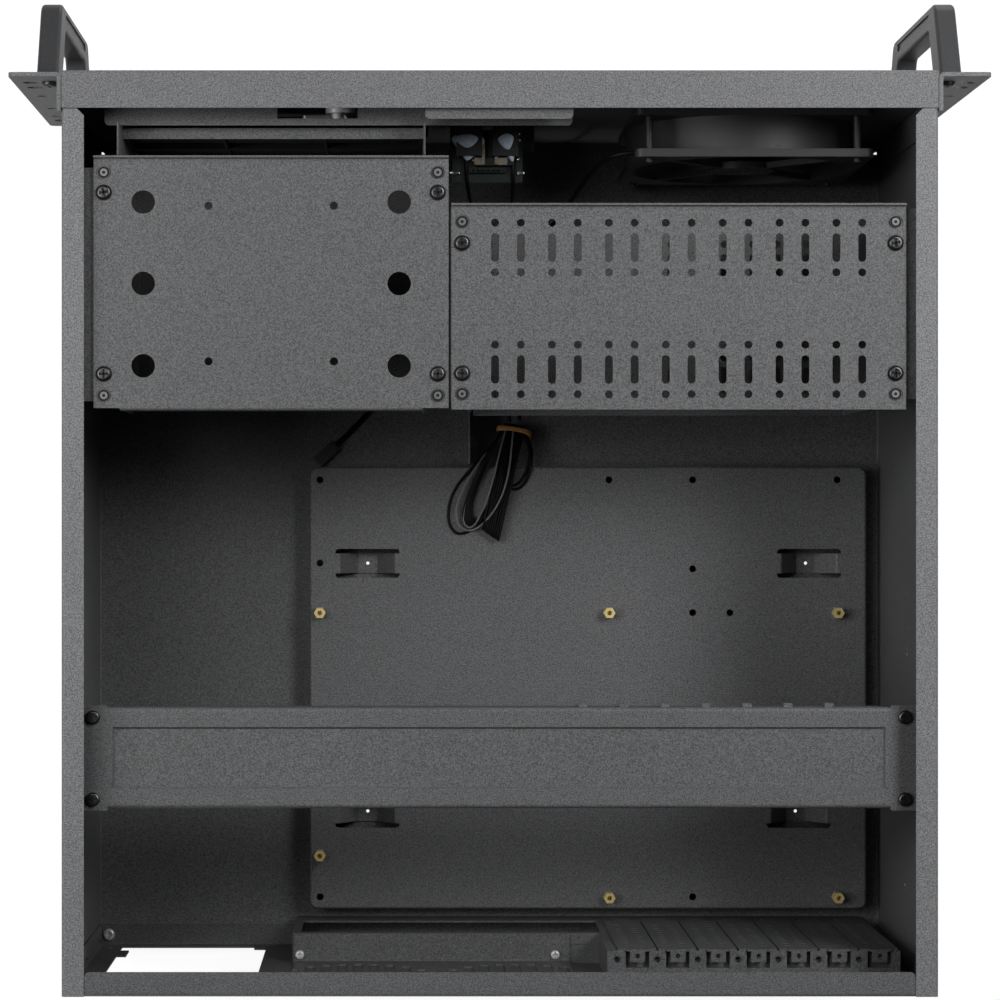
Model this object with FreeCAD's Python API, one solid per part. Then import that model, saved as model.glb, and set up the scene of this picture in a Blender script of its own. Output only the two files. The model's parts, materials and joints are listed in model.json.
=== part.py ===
"""A four-unit rackmount server case of short depth, open at the top and empty.

Millimetres. X runs to the right as seen from the front, Y to the back and Z up.
The origin is at the middle of the underside of the floor.
"""
import FreeCAD, Part
import math
import os

V = FreeCAD.Vector

# Overall sizes
BODY_WIDTH = 430.0
BODY_HEIGHT = 177.0
BODY_DEPTH = 454.4
SHEET = 1.0
BEND = 0.8
FIT = 0.1
CLEAR = 0.3

# Rack ears and handles
EAR_WIDTH = 26.0
EAR_PLATE = 2.0
EAR_RETURN = 19.0
EAR_SET_BACK = 1.0
RACK_INSET = 8.75
RACK_OUTER = 133.35
RACK_INNER = 101.6
RACK_ROUND = 43.6
SLOT_LONG = 8.0
SLOT_HIGH = 6.8
HANDLE_WIDTH = 10.8
HANDLE_HEIGHT = 158.0
HANDLE_REACH = 39.0
HANDLE_LEAN = 19.0
HANDLE_BAR = 12.0
HANDLE_LEG = 20.0
HANDLE_SCREW_PITCH = 138.0

# Front panel, front wall and door
FASCIA = 1.5
FASCIA_DEPTH = 18.5
WALL_AT = 11.8
WALL_TOP = 173.0
DOOR_LEFT = -34.0
DOOR_RIGHT = 193.0
DOOR_BOTTOM = 24.0
DOOR_TOP = 154.0
DOOR_GAP = 0.8
DOOR_GAP_LOW = 1.5
DOOR_RETURN = 5.0
HINGE_BEHIND = 4.0
HINGE_ABOVE = 4.0
PIN_R = 1.5
LOCK_X = 78.6
LOCK_BELOW = 11.0
LOCK_R = 7.7
PLUG_R = 5.0
CAM_LONG = 20.0
CAM_BACK = 20.0
STRIP_Z = 157.0
STRIP_BACK = 24.4

# Intake fan
FAN_X = -129.4
FAN_Z = 81.0
FAN_SIZE = 120.0
FAN_DEPTH = 25.0
FAN_FLANGE = 4.0
FAN_BORE_R = 57.0
FAN_HOLES = 105.0
FAN_HUB_R = 20.0
FAN_BLADES = 7

# Drive bay cage
LID_BELOW_TOP = 6.0
BAY_WALL_GAP = 14.2
BAY_LID_WIDTH = 174.7
BAY_LID_FRONT = 41.4
CAGE_BACK = 166.7
BAY_WIDTH = 152.0
BAY_FLANGE = 9.8
BAY_FRONT = 24.6
BAY_HEIGHT = 41.4
BAY_COUNT = 2
SMALL_BAY_WIDTH = 102.0
SMALL_BAY_HEIGHT = 25.4

# Disk cage
DISK_WALL_GAP = 13.9
DISK_LID_WIDTH = 223.8
DISK_LID_FRONT = 64.8
DISK_WIDTH = 197.1
DISK_PITCH = 28.0
DISK_COUNT = 7
DISK_PAIR = 12.7
DISK_ROWS = (86.5, 146.5)
CAGE_HEIGHT = 108.0
SUPPORT_BACK = 174.8

# Cross brace
BRACE_BEHIND = 91.0
BRACE_DEPTH = 50.2
BRACE_BELOW_TOP = 14.0
BRACE_SCREW_INSET = 14.0

# Motherboard tray
TRAY_LEFT = -205.4
TRAY_RIGHT = 98.3
TRAY_LONG = 241.0
TRAY_BEHIND = 22.4
TRAY_HEIGHT = 15.5
BOARD_X = 92.6
BOARD_COLUMNS = (0.0, 157.48, 281.94)
BOARD_ROW = 154.94
BOARD_BEHIND = 29.0
STANDOFF_HEIGHT = 6.5

# Rear wall
REAR_FLANGE = 12.7
LIP_DEEP = 12.1
LIP_INSET = 11.3
LIP_ROUND = 2.5
PSU_X = (122.0, 201.0)
PSU_Z = (8.0, 150.0)
SOCKETS_BEHIND_ROW = 12.3
RECESS_X = (-203.2, -55.5, 105.5)
IO_LEDGE_Z = 70.0
IO_X = (-57.3, 101.45)
IO_Z = (21.0, 65.45)
CARD_FIRST = -70.7
CARD_PITCH = 20.32
CARD_COUNT = 7
LEDGE_Z = 136.0
POCKET_HALF = 5.9
POCKET_LONG = 8.5
POCKET_DEEP = 4.2
POCKET_SHELL = 0.8
COVER_HALF = 9.7
GRILLE_X = (70.8, -11.1)
GRILLE_Z = 118.0
GRILLE_R = 38.0
PLATE_X = (-40.2, 104.6)
PLATE_TOP = 165.0

# Front connector board
USB_X = 4.0
USB_Z = 107.6
BOARD_FRONT = 20.0
BOARD_BACK = 47.0
BOARD_WIDTH = 36.0
POWER_X = 14.0
RESET_X = -16.0
BUTTON_Z = 70.0

# Values that follow
FRONT = -BODY_DEPTH / 2
BACK = BODY_DEPTH / 2
HALF = BODY_WIDTH / 2
INNER = HALF - SHEET
LIP_HALF = HALF - LIP_INSET
RACK_HALF = HALF + CLEAR + EAR_WIDTH - RACK_INSET
LID_Z = BODY_HEIGHT - LID_BELOW_TOP
CAGE_Z = LID_Z - SHEET
BRACKET_Z = CAGE_Z - SHEET
CAGE_FLOOR = CAGE_Z - CAGE_HEIGHT
BAY_LID_RIGHT = INNER - BAY_WALL_GAP
BAY_LID_LEFT = BAY_LID_RIGHT - BAY_LID_WIDTH
BAY_RIGHT = BAY_LID_RIGHT - (BAY_LID_WIDTH - BAY_WIDTH) / 2
BAY_LEFT = BAY_RIGHT - BAY_WIDTH
DISK_LID_LEFT = -INNER + DISK_WALL_GAP
DISK_LID_RIGHT = DISK_LID_LEFT + DISK_LID_WIDTH
DISK_LEFT = DISK_LID_LEFT + (DISK_LID_WIDTH - DISK_WIDTH) / 2
DISK_RIGHT = DISK_LEFT + DISK_WIDTH
HINGE_Z = DOOR_BOTTOM + HINGE_ABOVE
LOCK_Z = DOOR_TOP - LOCK_BELOW
EAR_MIDDLE_Z = BODY_HEIGHT / 2
BRACE_Z = BODY_HEIGHT - BRACE_BELOW_TOP
EAR_FRONT = FRONT + EAR_SET_BACK
TRAY_BACK = BACK - TRAY_BEHIND
TRAY_FRONT = TRAY_BACK - TRAY_LONG
BOARD_REAR_ROW = BACK - BOARD_BEHIND
RECESS_FACE = BOARD_REAR_ROW + SOCKETS_BEHIND_ROW
REAR_INSIDE = BACK - SHEET


def behind(distance):
    """The Y of a place that lies this far behind the front face."""
    return FRONT + distance


def block(x0, x1, y0, y1, z0, z1):
    return Part.makeBox(x1 - x0, y1 - y0, z1 - z0, V(x0, y0, z0))


def soft_block(x0, x1, y0, y1, z0, z1, radius, axis=V(0, 0, 1)):
    """A block whose four edges along axis are rounded."""
    shape = block(x0, x1, y0, y1, z0, z1)
    edges = [e for e in shape.Edges if abs(abs(e.tangentAt(0).dot(axis)) - 1) < 1e-6]
    return shape.makeFillet(radius, edges)


def rounded_at(shape, radius, y):
    """The shape with its upright edges at this Y rounded."""
    edges = [e for e in shape.Edges
             if abs(e.BoundBox.YMin - y) < 1e-6 and e.BoundBox.YLength < 1e-6
             and e.BoundBox.XLength < 1e-6]
    return shape.makeFillet(radius, edges)


def upright(x, y, z0, z1, radius):
    return Part.makeCylinder(radius, z1 - z0, V(x, y, z0))


def along_y(x, z, y0, y1, radius):
    return Part.makeCylinder(radius, y1 - y0, V(x, y0, z), V(0, 1, 0))


def along_x(y, z, x0, x1, radius):
    return Part.makeCylinder(radius, x1 - x0, V(x0, y, z), V(1, 0, 0))


def cut(shape, tools):
    return shape.cut(Part.makeCompound(tools)) if tools else shape


def join(shapes):
    return shapes[0].multiFuse(shapes[1:]).removeSplitter() if len(shapes) > 1 else shapes[0]


def mirrored(shape):
    return shape.mirror(V(0, 0, 0), V(1, 0, 0))


def rounded_edges(points, radii):
    """Straight runs between points, joined by tangent arcs at the inner ones."""
    edges = []
    start = points[0]
    for before, here, after, radius in zip(points, points[1:], points[2:], radii):
        back = (before - here).normalize()
        ahead = (after - here).normalize()
        half_turn = (math.pi - back.getAngle(ahead)) / 2
        reach = radius * math.tan(half_turn)
        middle = here + (back + ahead).normalize() * (radius / math.cos(half_turn) - radius)
        if (here + back * reach - start).Length > 1e-6:
            edges.append(Part.LineSegment(start, here + back * reach).toShape())
        edges.append(Part.Arc(here + back * reach, middle, here + ahead * reach).toShape())
        start = here + ahead * reach
    edges.append(Part.LineSegment(start, points[-1]).toShape())
    return edges


def folded(outline, thickness, place, sweep, side=1, bend=BEND):
    """A strip of sheet folded along outline, thick towards its left (side 1) or right (-1).

    place turns the outline's two numbers into a point, and sweep is the strip's width.
    """
    normals = []
    for (ax, ay), (bx, by) in zip(outline, outline[1:]):
        run = math.hypot(bx - ax, by - ay)
        normals.append(((ay - by) / run * side, (bx - ax) / run * side))
    second = []
    for i, (x, y) in enumerate(outline):
        p = normals[max(i - 1, 0)]
        q = normals[min(i, len(normals) - 1)]
        share = thickness / (1 + p[0] * q[0] + p[1] * q[1])
        second.append((x + (p[0] + q[0]) * share, y + (p[1] + q[1]) * share))
    first_radii = []
    second_radii = []
    for p, q in zip(normals, normals[1:]):
        outer_first = (p[0] * q[1] - p[1] * q[0]) * side > 0
        first_radii.append(bend + thickness if outer_first else bend)
        second_radii.append(bend if outer_first else bend + thickness)
    there = [place(*p) for p in outline]
    return_way = [place(*p) for p in reversed(second)]
    edges = rounded_edges(there, first_radii)
    edges.append(Part.LineSegment(there[-1], return_way[0]).toShape())
    edges += rounded_edges(return_way, list(reversed(second_radii)))
    edges.append(Part.LineSegment(return_way[-1], there[0]).toShape())
    return Part.Face(Part.Wire(edges)).extrude(sweep)


def prism(points, sweep):
    """A closed flat outline swept along a vector."""
    return Part.Face(Part.makePolygon(points + points[:1])).extrude(sweep)


def screw(x, y, z, length, head_r=3.5, head_h=2.0, shank_r=1.5):
    """A cross-head screw that points down, its head standing on z."""
    head = upright(x, y, z, z + head_h, head_r)
    rim = [e for e in head.Edges if abs(e.BoundBox.ZMin - z - head_h) < 1e-6]
    head = head.makeFillet(head_h * 0.6, rim)
    long, thin, deep = head_r * 0.62, head_r * 0.16, head_h * 0.4
    cross = [
        block(x - long, x + long, y - thin, y + thin, z + deep, z + head_h + 1),
        block(x - thin, x + thin, y - long, y + long, z + deep, z + head_h + 1),
    ]
    return join([cut(head, cross), upright(x, y, z - length, z, shank_r)])


def laid(shape, place, axis, angle):
    """A copy of shape, modelled at the origin, turned and then put at place."""
    copy = shape.copy()
    copy.rotate(V(0, 0, 0), axis, angle)
    copy.translate(place)
    return copy


# Chassis

def well_places():
    """The middles of the four lanced straps of the motherboard tray."""
    front_y = TRAY_FRONT + 52.6
    back_y = TRAY_FRONT + 188.9
    right = TRAY_RIGHT - 31.6
    left = TRAY_LEFT + 31.4
    return [(right, front_y), (left, front_y), (right, back_y), (left + 5.6, back_y)]


def chassis_tub():
    floor_front = behind(13.0)
    wall_front = behind(FASCIA_DEPTH + 0.4)
    flange = 11.0
    chamfer = 3.3
    outline = [
        (HALF - flange, BODY_HEIGHT), (HALF, BODY_HEIGHT), (HALF, 0), (-HALF, 0),
        (-HALF, BODY_HEIGHT), (-HALF + flange, BODY_HEIGHT),
    ]
    tub = folded(
        outline, SHEET, lambda x, z: V(x, floor_front, z), V(0, BACK - floor_front, 0), side=-1
    )
    tools = []
    for side in (-1, 1):
        edge = side * HALF
        inside = side * (HALF - 14.0)
        tools.append(block(min(edge, inside) - 1, max(edge, inside) + 1,
                           floor_front - 1, wall_front, 3.0, BODY_HEIGHT + 1))
        tools.append(block(min(edge, side * (HALF - 3)) - 1, max(edge, side * (HALF - 3)) + 1,
                           floor_front - 1, wall_front, -1, 4.0))
        lip = side * (HALF - flange)
        corner = [(lip - side, wall_front - 1), (lip + side * (chamfer + 1), wall_front - 1),
                  (lip - side, wall_front + chamfer + 1)]
        tools.append(prism([V(x, y, BODY_HEIGHT - 1.5) for x, y in corner], V(0, 0, 3)))
        for distance, z in ((286.2, 92.0), (289.6, 92.0), (409.8, 87.0)):
            if side < 0:
                tools.append(along_x(behind(distance), z, -HALF - 1, -INNER + 1, 1.2))
        for distance in (60.0, 150.0, 318.0, 358.0):
            tools.append(along_x(behind(distance), BODY_HEIGHT - 45, edge - 2, edge + 2, 1.8))
    for x, y in well_places():
        tools.append(upright(x, y, -1, SHEET + 1, 1.4))
    for x, y in flange_screw_places():
        tools.append(upright(x, y, -1, SHEET + 1, 1.5 + CLEAR))
    return cut(tub, tools)


def front_wall():
    back = behind(WALL_AT + SHEET)
    front = behind(WALL_AT)
    wide = INNER - FIT
    plate = block(-wide, wide, front, back, SHEET, WALL_TOP)
    flange_back = behind(28.0)
    pieces = [plate]
    for side in (-1, 1):
        x0, x1 = sorted((side * wide, side * (wide - SHEET)))
        pieces.append(block(x0, x1, back, flange_back, SHEET + 2, WALL_TOP - 4))
    strip = rounded_at(block(DOOR_LEFT - 2.7, DOOR_RIGHT + 2.8, front, behind(STRIP_BACK),
                             STRIP_Z - SHEET, STRIP_Z), 2.3, behind(STRIP_BACK))
    slot = block(LOCK_X - 8.6, LOCK_X + 31.4, back, behind(21.0), STRIP_Z - 2, STRIP_Z + 1)
    pieces.append(cut(strip, [slot]))
    tab = block(DOOR_LEFT - 2.2, DOOR_LEFT + 70.6, front, behind(23.4),
                WALL_TOP - SHEET, WALL_TOP)
    pieces.append(rounded_at(tab, 2.3, behind(23.4)))
    pieces.append(block(-wide, wide, back, behind(19.2), SHEET, SHEET * 2))
    tools = [block(DOOR_LEFT + 68, DOOR_RIGHT - 1, front - 1, back + 1,
                   DOOR_BOTTOM + 3, STRIP_Z - SHEET)]
    tools.append(along_y(FAN_X, FAN_Z, front - 1, back + 1, FAN_BORE_R))
    for dx in (-1, 1):
        for dz in (-1, 1):
            tools.append(along_y(FAN_X + dx * FAN_HOLES / 2, FAN_Z + dz * FAN_HOLES / 2,
                                 front - 1, back + 1, 2.3))
    for x in usb_places():
        tools.append(block(x - 6.9, x + 6.9, front - 1, back + 1, USB_Z - CLEAR, USB_Z + 7.3))
    tools.append(along_y(POWER_X, BUTTON_Z, front - 1, back + 1, 6.0 + CLEAR))
    tools.append(along_y(RESET_X, BUTTON_Z, front - 1, back + 1, 3.0 + CLEAR))
    for x in led_places():
        tools.append(along_y(x, BUTTON_Z + 18, front - 1, back + 1, 1.5 + CLEAR))
    for side in (-1, 1):
        tools.append(upright(side * (wide - 1), behind(19.2), SHEET - 1, SHEET * 2 + 1, 1.6))
    return cut(join(pieces), tools)


def flange_screw_places():
    """The screws that hold the rear wall's lower flange to the floor."""
    x = INNER - FIT - 5.0
    return [(x, BACK - 6.7), (-x, BACK - 6.7)]


def plate_screw_places():
    """The screws that hold the fan plate's foot to the ledge over the sockets."""
    return [(PLATE_X[1] - 2.9, BACK - 5.4), (PLATE_X[0] + 7.5, BACK - 5.4)]


def card_places():
    return [CARD_FIRST - i * CARD_PITCH for i in range(CARD_COUNT)]


def rear_sheet():
    """The rearmost sheet with its flanges, open behind the recess."""
    top = BODY_HEIGHT
    wide = INNER - FIT
    low = SHEET + BEND + FIT
    left, middle, right = RECESS_X
    outline = [(BACK - LIP_DEEP, top), (BACK, top), (BACK, SHEET), (BACK - REAR_FLANGE, SHEET)]
    rim = folded(outline, SHEET, lambda y, z: V(-LIP_HALF, y, z), V(2 * LIP_HALF, 0, 0), side=-1)
    pieces = [rounded_at(rim, LIP_ROUND, BACK - LIP_DEEP)]
    for side in (-1, 1):
        outline = [(side * (LIP_HALF - 1), BACK), (side * wide, BACK),
                   (side * wide, BACK - REAR_FLANGE)]
        pieces.append(folded(outline, SHEET, lambda x, y: V(x, y, low),
                             V(0, 0, top - 2 * low), side=-side))
        x0, x1 = sorted((side * (LIP_HALF - 1), side * (wide - SHEET - FIT)))
        pieces.append(block(x0, x1, BACK - REAR_FLANGE, BACK - SHEET / 2, SHEET, 2 * SHEET))
    tools = [
        block(left + SHEET, middle - SHEET, RECESS_FACE, BACK + 1, 0, LEDGE_Z - SHEET),
        block(middle - SHEET - 1, right - SHEET, RECESS_FACE, BACK + 1, 0, IO_LEDGE_Z - SHEET),
        block(PSU_X[0], PSU_X[1], REAR_INSIDE - 1, BACK + 1, PSU_Z[0], PSU_Z[1]),
    ]
    for x, z in ((PSU_X[1] + 5, 14.0), (PSU_X[1] + 5, 144.0), (PSU_X[0] - 5, 144.0)):
        tools.append(along_y(x, z, REAR_INSIDE - 1, BACK + 1, 1.9))
    for x in GRILLE_X:
        ring = along_y(x, GRILLE_Z, BACK - 0.4, BACK + 1, GRILLE_R + 2)
        tools.append(ring.cut(along_y(x, GRILLE_Z, BACK - 1, BACK + 2, GRILLE_R + 1)))
    return cut(join(pieces), tools)


def rear_wall():
    """The rear sheet and its recess, which takes the board's sockets and the cards."""
    face = RECESS_FACE
    left, middle, right = RECESS_X
    pieces = [rear_sheet()]
    for x0, x1, high in ((left, middle, LEDGE_Z), (middle, right, IO_LEDGE_Z)):
        pieces.append(block(x0, x1, face, face + SHEET, SHEET, high))
        pieces.append(block(x0, x1, face, BACK, high - SHEET, high))
    for x, low, high in ((left, SHEET, LEDGE_Z), (right - SHEET, SHEET, IO_LEDGE_Z),
                         (middle - SHEET, IO_LEDGE_Z - SHEET, LEDGE_Z)):
        pieces.append(block(x, x + SHEET, face, BACK, low, high))
    outside = POCKET_HALF + POCKET_SHELL
    for x in card_places():
        pieces.append(block(x - outside, x + outside, face, face + POCKET_LONG + POCKET_SHELL,
                            LEDGE_Z - POCKET_DEEP - POCKET_SHELL, LEDGE_Z - SHEET / 2))
        pieces.append(upright(x + CARD_PITCH / 2, face + 4.4, LEDGE_Z - 4.0,
                              LEDGE_Z - SHEET / 2, 2.5))
    rivet_x = INNER - FIT - SHEET
    for z in (15.0, 80.0, 145.0):
        pieces.append(along_x(BACK - 6.4, z, rivet_x - 0.8, rivet_x + 0.5, 2.3))
    pieces.append(block(PSU_X[1] - 5, PSU_X[1] + 1, REAR_INSIDE, BACK, 24.0, 43.0))
    pieces.append(block(PSU_X[0] - 1, PSU_X[0] + 6.5, REAR_INSIDE, BACK, PSU_Z[0] - 1, 16.0))
    tools = [
        block(IO_X[0], IO_X[1], face - 1, face + SHEET + 1, IO_Z[0], IO_Z[1]),
        block(middle + 4.5, middle + 18.0, face + 5.8, face + 8.4,
              IO_LEDGE_Z - 0.6, IO_LEDGE_Z + 1),
        upright(middle + 10.7, face + 2.7, IO_LEDGE_Z - 0.6, IO_LEDGE_Z + 1, 1.1),
    ]
    for x in card_places():
        land = x + CARD_PITCH / 2
        tools.append(block(x - 6.5, x + 6.5, face - 1, face + SHEET + 1, 31.0, LEDGE_Z - 9))
        tools.append(block(x - POCKET_HALF, x + POCKET_HALF, face - 1, face + POCKET_LONG,
                           LEDGE_Z - POCKET_DEEP, LEDGE_Z + 1))
        tools.append(upright(land, face + 4.4, LEDGE_Z - 3.2, LEDGE_Z + 1, 1.6))
        tools.append(upright(land, face + 4.4, LEDGE_Z - 0.3, LEDGE_Z + 1, 2.4))
        tools.append(block(x - 5.0, x + 5.0, face - 1, face + SHEET + 1, 16.0, 17.6))
    for x, y in plate_screw_places():
        tools.append(upright(x, y, IO_LEDGE_Z - 2, IO_LEDGE_Z + 1, 1.5 + CLEAR))
    for x, y in flange_screw_places():
        tools.append(upright(x, y, 0, 3 * SHEET, 1.5 + CLEAR))
    return cut(join(pieces), tools)


def rear_fan_plate():
    """The angle with two fan grilles that stands on the ledge before the rear sheet."""
    z = IO_LEDGE_Z + SHEET
    y = REAR_INSIDE - SHEET
    outline = [(RECESS_FACE + 0.3, z), (y, z), (y, PLATE_TOP)]
    plate = folded(outline, SHEET, lambda a, b: V(PLATE_X[0], a, b),
                   V(PLATE_X[1] - PLATE_X[0], 0, 0), side=-1)
    tools = []
    for middle in GRILLE_X:
        for i in range(-4, 5):
            x = middle + i * 8.2
            half = math.sqrt(GRILLE_R ** 2 - (i * 8.2) ** 2)
            for low, high in ((GRILLE_Z - half, GRILLE_Z - 2), (GRILLE_Z + 2, GRILLE_Z + half)):
                tools.append(soft_block(x - 2.8, x + 2.8, y - 1, y + 2, low, high,
                                        2.5, V(0, 1, 0)))
    for x, at in plate_screw_places():
        tools.append(upright(x, at, z - 2, z + 1, 1.5 + CLEAR))
    return cut(plate, tools)


def rear_plate_screws():
    """The small screws of the fan plate's foot, and those of the lower flange."""
    foot = IO_LEDGE_Z + SHEET
    small = [screw(x, y, foot, 5.0, head_r=2.4, head_h=1.6) for x, y in plate_screw_places()]
    large = [screw(x, y, 2 * SHEET, 2 * SHEET - 0.1, head_r=3.2) for x, y in flange_screw_places()]
    return Part.makeCompound(small + large)


# Front

def grille_slots(y0, y1):
    """The intake slots before the fan: rows in three columns within the fan's bore."""
    slots = []
    for row in range(-6, 7):
        z = FAN_Z + row * 8.4
        half = math.sqrt(max(FAN_BORE_R ** 2 - (row * 8.4) ** 2, 0)) - 2
        columns = [(-half, half)] if half < 30 else [(-half, -half / 3 - 2),
                                                     (-half / 3 + 2, half / 3 - 2),
                                                     (half / 3 + 2, half)]
        for a, b in columns:
            slots.append(soft_block(FAN_X + a, FAN_X + b, y0, y1, z - 2.3, z + 2.3,
                                    2.2, V(0, 1, 0)))
    return slots


def front_panel():
    back = behind(FASCIA_DEPTH)
    shell = block(-HALF, HALF, FRONT, back, 0, BODY_HEIGHT)
    rim = [e for e in shell.Edges
           if abs(e.BoundBox.YMax - FRONT) < 1e-6 and e.BoundBox.YLength < 1e-6]
    shell = shell.makeFillet(1.2, rim)
    hollow = block(-HALF + SHEET, HALF - SHEET, behind(FASCIA), back + 1,
                   SHEET, BODY_HEIGHT - SHEET)
    bottom = block(-HALF - 1, HALF + 1, behind(12.8), back + 1, -1, SHEET + 0.001)
    window = soft_block(DOOR_LEFT - DOOR_GAP, DOOR_RIGHT + DOOR_GAP, FRONT - 1,
                        behind(FASCIA) + 0.5, DOOR_BOTTOM - DOOR_GAP_LOW, DOOR_TOP + DOOR_GAP,
                        1.0, V(0, 1, 0))
    panel = cut(shell, [hollow, bottom, window] + grille_slots(FRONT - 1, behind(FASCIA) + 1))
    lugs = []
    for edge, away in ((DOOR_LEFT - DOOR_GAP, -1), (DOOR_RIGHT + DOOR_GAP, 1)):
        x0, x1 = sorted((edge, edge + away * FASCIA))
        lug = block(x0, x1, behind(FASCIA), behind(HINGE_BEHIND + 4),
                    HINGE_Z - 6, HINGE_Z + 6)
        hole = along_x(behind(HINGE_BEHIND), HINGE_Z, x0 - 1, x1 + 1, PIN_R + FIT)
        lugs.append(cut(lug, [hole]))
    return join([panel] + lugs)


def rack_ear():
    """The ear on the right side, seen from the front."""
    inner = HALF + CLEAR
    outer = HALF + CLEAR + EAR_WIDTH
    outline = [(outer, EAR_FRONT), (inner, EAR_FRONT), (inner, EAR_FRONT + EAR_RETURN)]
    ear = folded(outline, EAR_PLATE, lambda x, y: V(x, y, 0), V(0, 0, BODY_HEIGHT), side=-1)
    corners = [e for e in ear.Edges
               if abs(abs(e.tangentAt(0).y) - 1) < 1e-6 and e.BoundBox.XMin > outer - 1e-3
               and e.BoundBox.XLength < 1e-6]
    ear = ear.makeFillet(3.0, corners)
    middle = RACK_HALF
    tools = []
    for high in (RACK_OUTER, RACK_INNER):
        for sign in (-1, 1):
            z = EAR_MIDDLE_Z + sign * high / 2
            tools.append(soft_block(middle - SLOT_LONG / 2, middle + SLOT_LONG / 2,
                                    EAR_FRONT - 1, EAR_FRONT + EAR_PLATE + 1,
                                    z - SLOT_HIGH / 2, z + SLOT_HIGH / 2,
                                    SLOT_HIGH / 2 - 0.01, V(0, 1, 0)))
    for sign in (-1, 1):
        tools.append(along_y(middle, EAR_MIDDLE_Z + sign * RACK_ROUND / 2,
                             EAR_FRONT - 1, EAR_FRONT + EAR_PLATE + 1, 2.5))
        tools.append(along_y(handle_x(), EAR_MIDDLE_Z + sign * HANDLE_SCREW_PITCH / 2,
                             EAR_FRONT - 1, EAR_FRONT + EAR_PLATE + 1, 2.0 + CLEAR))
        tools.append(along_x(EAR_FRONT + 11.0, EAR_MIDDLE_Z + sign * 60, inner - 1,
                             inner + EAR_PLATE + 1, 2.0 + CLEAR))
    return cut(ear, tools)


def handle_x():
    return HALF + CLEAR + EAR_PLATE + 0.3 + HANDLE_WIDTH / 2


def handle():
    """A moulded bow handle with leaning legs, on the right ear."""
    x0 = handle_x() - HANDLE_WIDTH / 2
    low = EAR_MIDDLE_Z - HANDLE_HEIGHT / 2
    high = EAR_MIDDLE_Z + HANDLE_HEIGHT / 2
    tip = EAR_FRONT - HANDLE_REACH
    grip = tip + HANDLE_BAR
    leg = HANDLE_LEG
    outer = [V(x0, EAR_FRONT, low), V(x0, tip, low + HANDLE_LEAN),
             V(x0, tip, high - HANDLE_LEAN), V(x0, EAR_FRONT, high)]
    inner = [V(x0, EAR_FRONT, high - leg), V(x0, grip, high - leg - HANDLE_LEAN * 0.7),
             V(x0, grip, low + leg + HANDLE_LEAN * 0.7), V(x0, EAR_FRONT, low + leg)]
    edges = rounded_edges(outer, [9.0, 9.0])
    edges.append(Part.LineSegment(outer[-1], inner[0]).toShape())
    edges += rounded_edges(inner, [6.0, 6.0])
    edges.append(Part.LineSegment(inner[-1], outer[0]).toShape())
    bow = Part.Face(Part.Wire(edges)).extrude(V(HANDLE_WIDTH, 0, 0))
    sides = [e for e in bow.Edges
             if e.BoundBox.XLength < 1e-6 and e.BoundBox.YMin < EAR_FRONT - 0.5]
    bow = bow.makeFillet(1.8, sides)
    tools = []
    for sign in (-1, 1):
        z = EAR_MIDDLE_Z + sign * HANDLE_SCREW_PITCH / 2
        tools.append(along_y(handle_x(), z, EAR_FRONT - 12, EAR_FRONT + 1, 1.9 + CLEAR))
    groove = soft_block(x0 - 1, x0 + 0.9, tip + 3.4, tip + 7.4,
                        low + HANDLE_LEAN + 14, high - HANDLE_LEAN - 14, 0.9, V(1, 0, 0))
    return cut(bow, tools + [groove])


def handle_screws():
    flat = screw(0, 0, 0, 10.0 + EAR_PLATE, head_r=3.8, head_h=2.4, shank_r=1.9)
    solids = []
    for side in (-1, 1):
        for sign in (-1, 1):
            place = V(side * handle_x(), EAR_FRONT + EAR_PLATE,
                      EAR_MIDDLE_Z + sign * HANDLE_SCREW_PITCH / 2)
            solids.append(laid(flat, place, V(1, 0, 0), -90))
    return Part.makeCompound(solids)


def front_door():
    face = block(DOOR_LEFT, DOOR_RIGHT, FRONT, behind(FASCIA), DOOR_BOTTOM, DOOR_TOP)
    back = behind(FASCIA + DOOR_RETURN)
    sides = []
    for x in (DOOR_LEFT, DOOR_RIGHT - SHEET):
        sides.append(block(x, x + SHEET, behind(FASCIA) - 0.5, back, DOOR_BOTTOM, DOOR_TOP))
    sides.append(block(DOOR_LEFT, DOOR_RIGHT, behind(FASCIA) - 0.5, back,
                       DOOR_TOP - SHEET, DOOR_TOP))
    door = join([face] + sides)
    corners = [e for e in door.Edges
               if abs(e.BoundBox.YMin - FRONT) < 1e-6 and e.BoundBox.YLength < 1e-6]
    door = door.makeFillet(0.6, corners)
    tools = [along_x(behind(HINGE_BEHIND), HINGE_Z, DOOR_LEFT - 1, DOOR_RIGHT + 1, PIN_R + CLEAR)]
    tools.append(along_y(LOCK_X, LOCK_Z, FRONT - 1, behind(FASCIA) + 1, LOCK_R + CLEAR))
    corner = HINGE_ABOVE - 1.5
    for x in (DOOR_LEFT, DOOR_RIGHT - SHEET):
        tools.append(block(x - 1, x + SHEET + 1, back - corner, back + 1,
                           DOOR_BOTTOM - 1, DOOR_BOTTOM + 1.5))
    return cut(door, tools)


def door_hinge_pins():
    pins = []
    for edge, away in ((DOOR_LEFT - DOOR_GAP, -1), (DOOR_RIGHT + DOOR_GAP, 1)):
        outside = edge + away * FASCIA
        inside = edge - away * (DOOR_GAP + SHEET + 1.5)
        x0, x1 = sorted((outside, inside))
        h0, h1 = sorted((outside, outside + away * 1.2))
        shaft = along_x(behind(HINGE_BEHIND), HINGE_Z, x0, x1, PIN_R)
        head = along_x(behind(HINGE_BEHIND), HINGE_Z, h0, h1, PIN_R + 0.8)
        pins.append(join([shaft, head]))
    return Part.makeCompound(pins)


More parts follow.
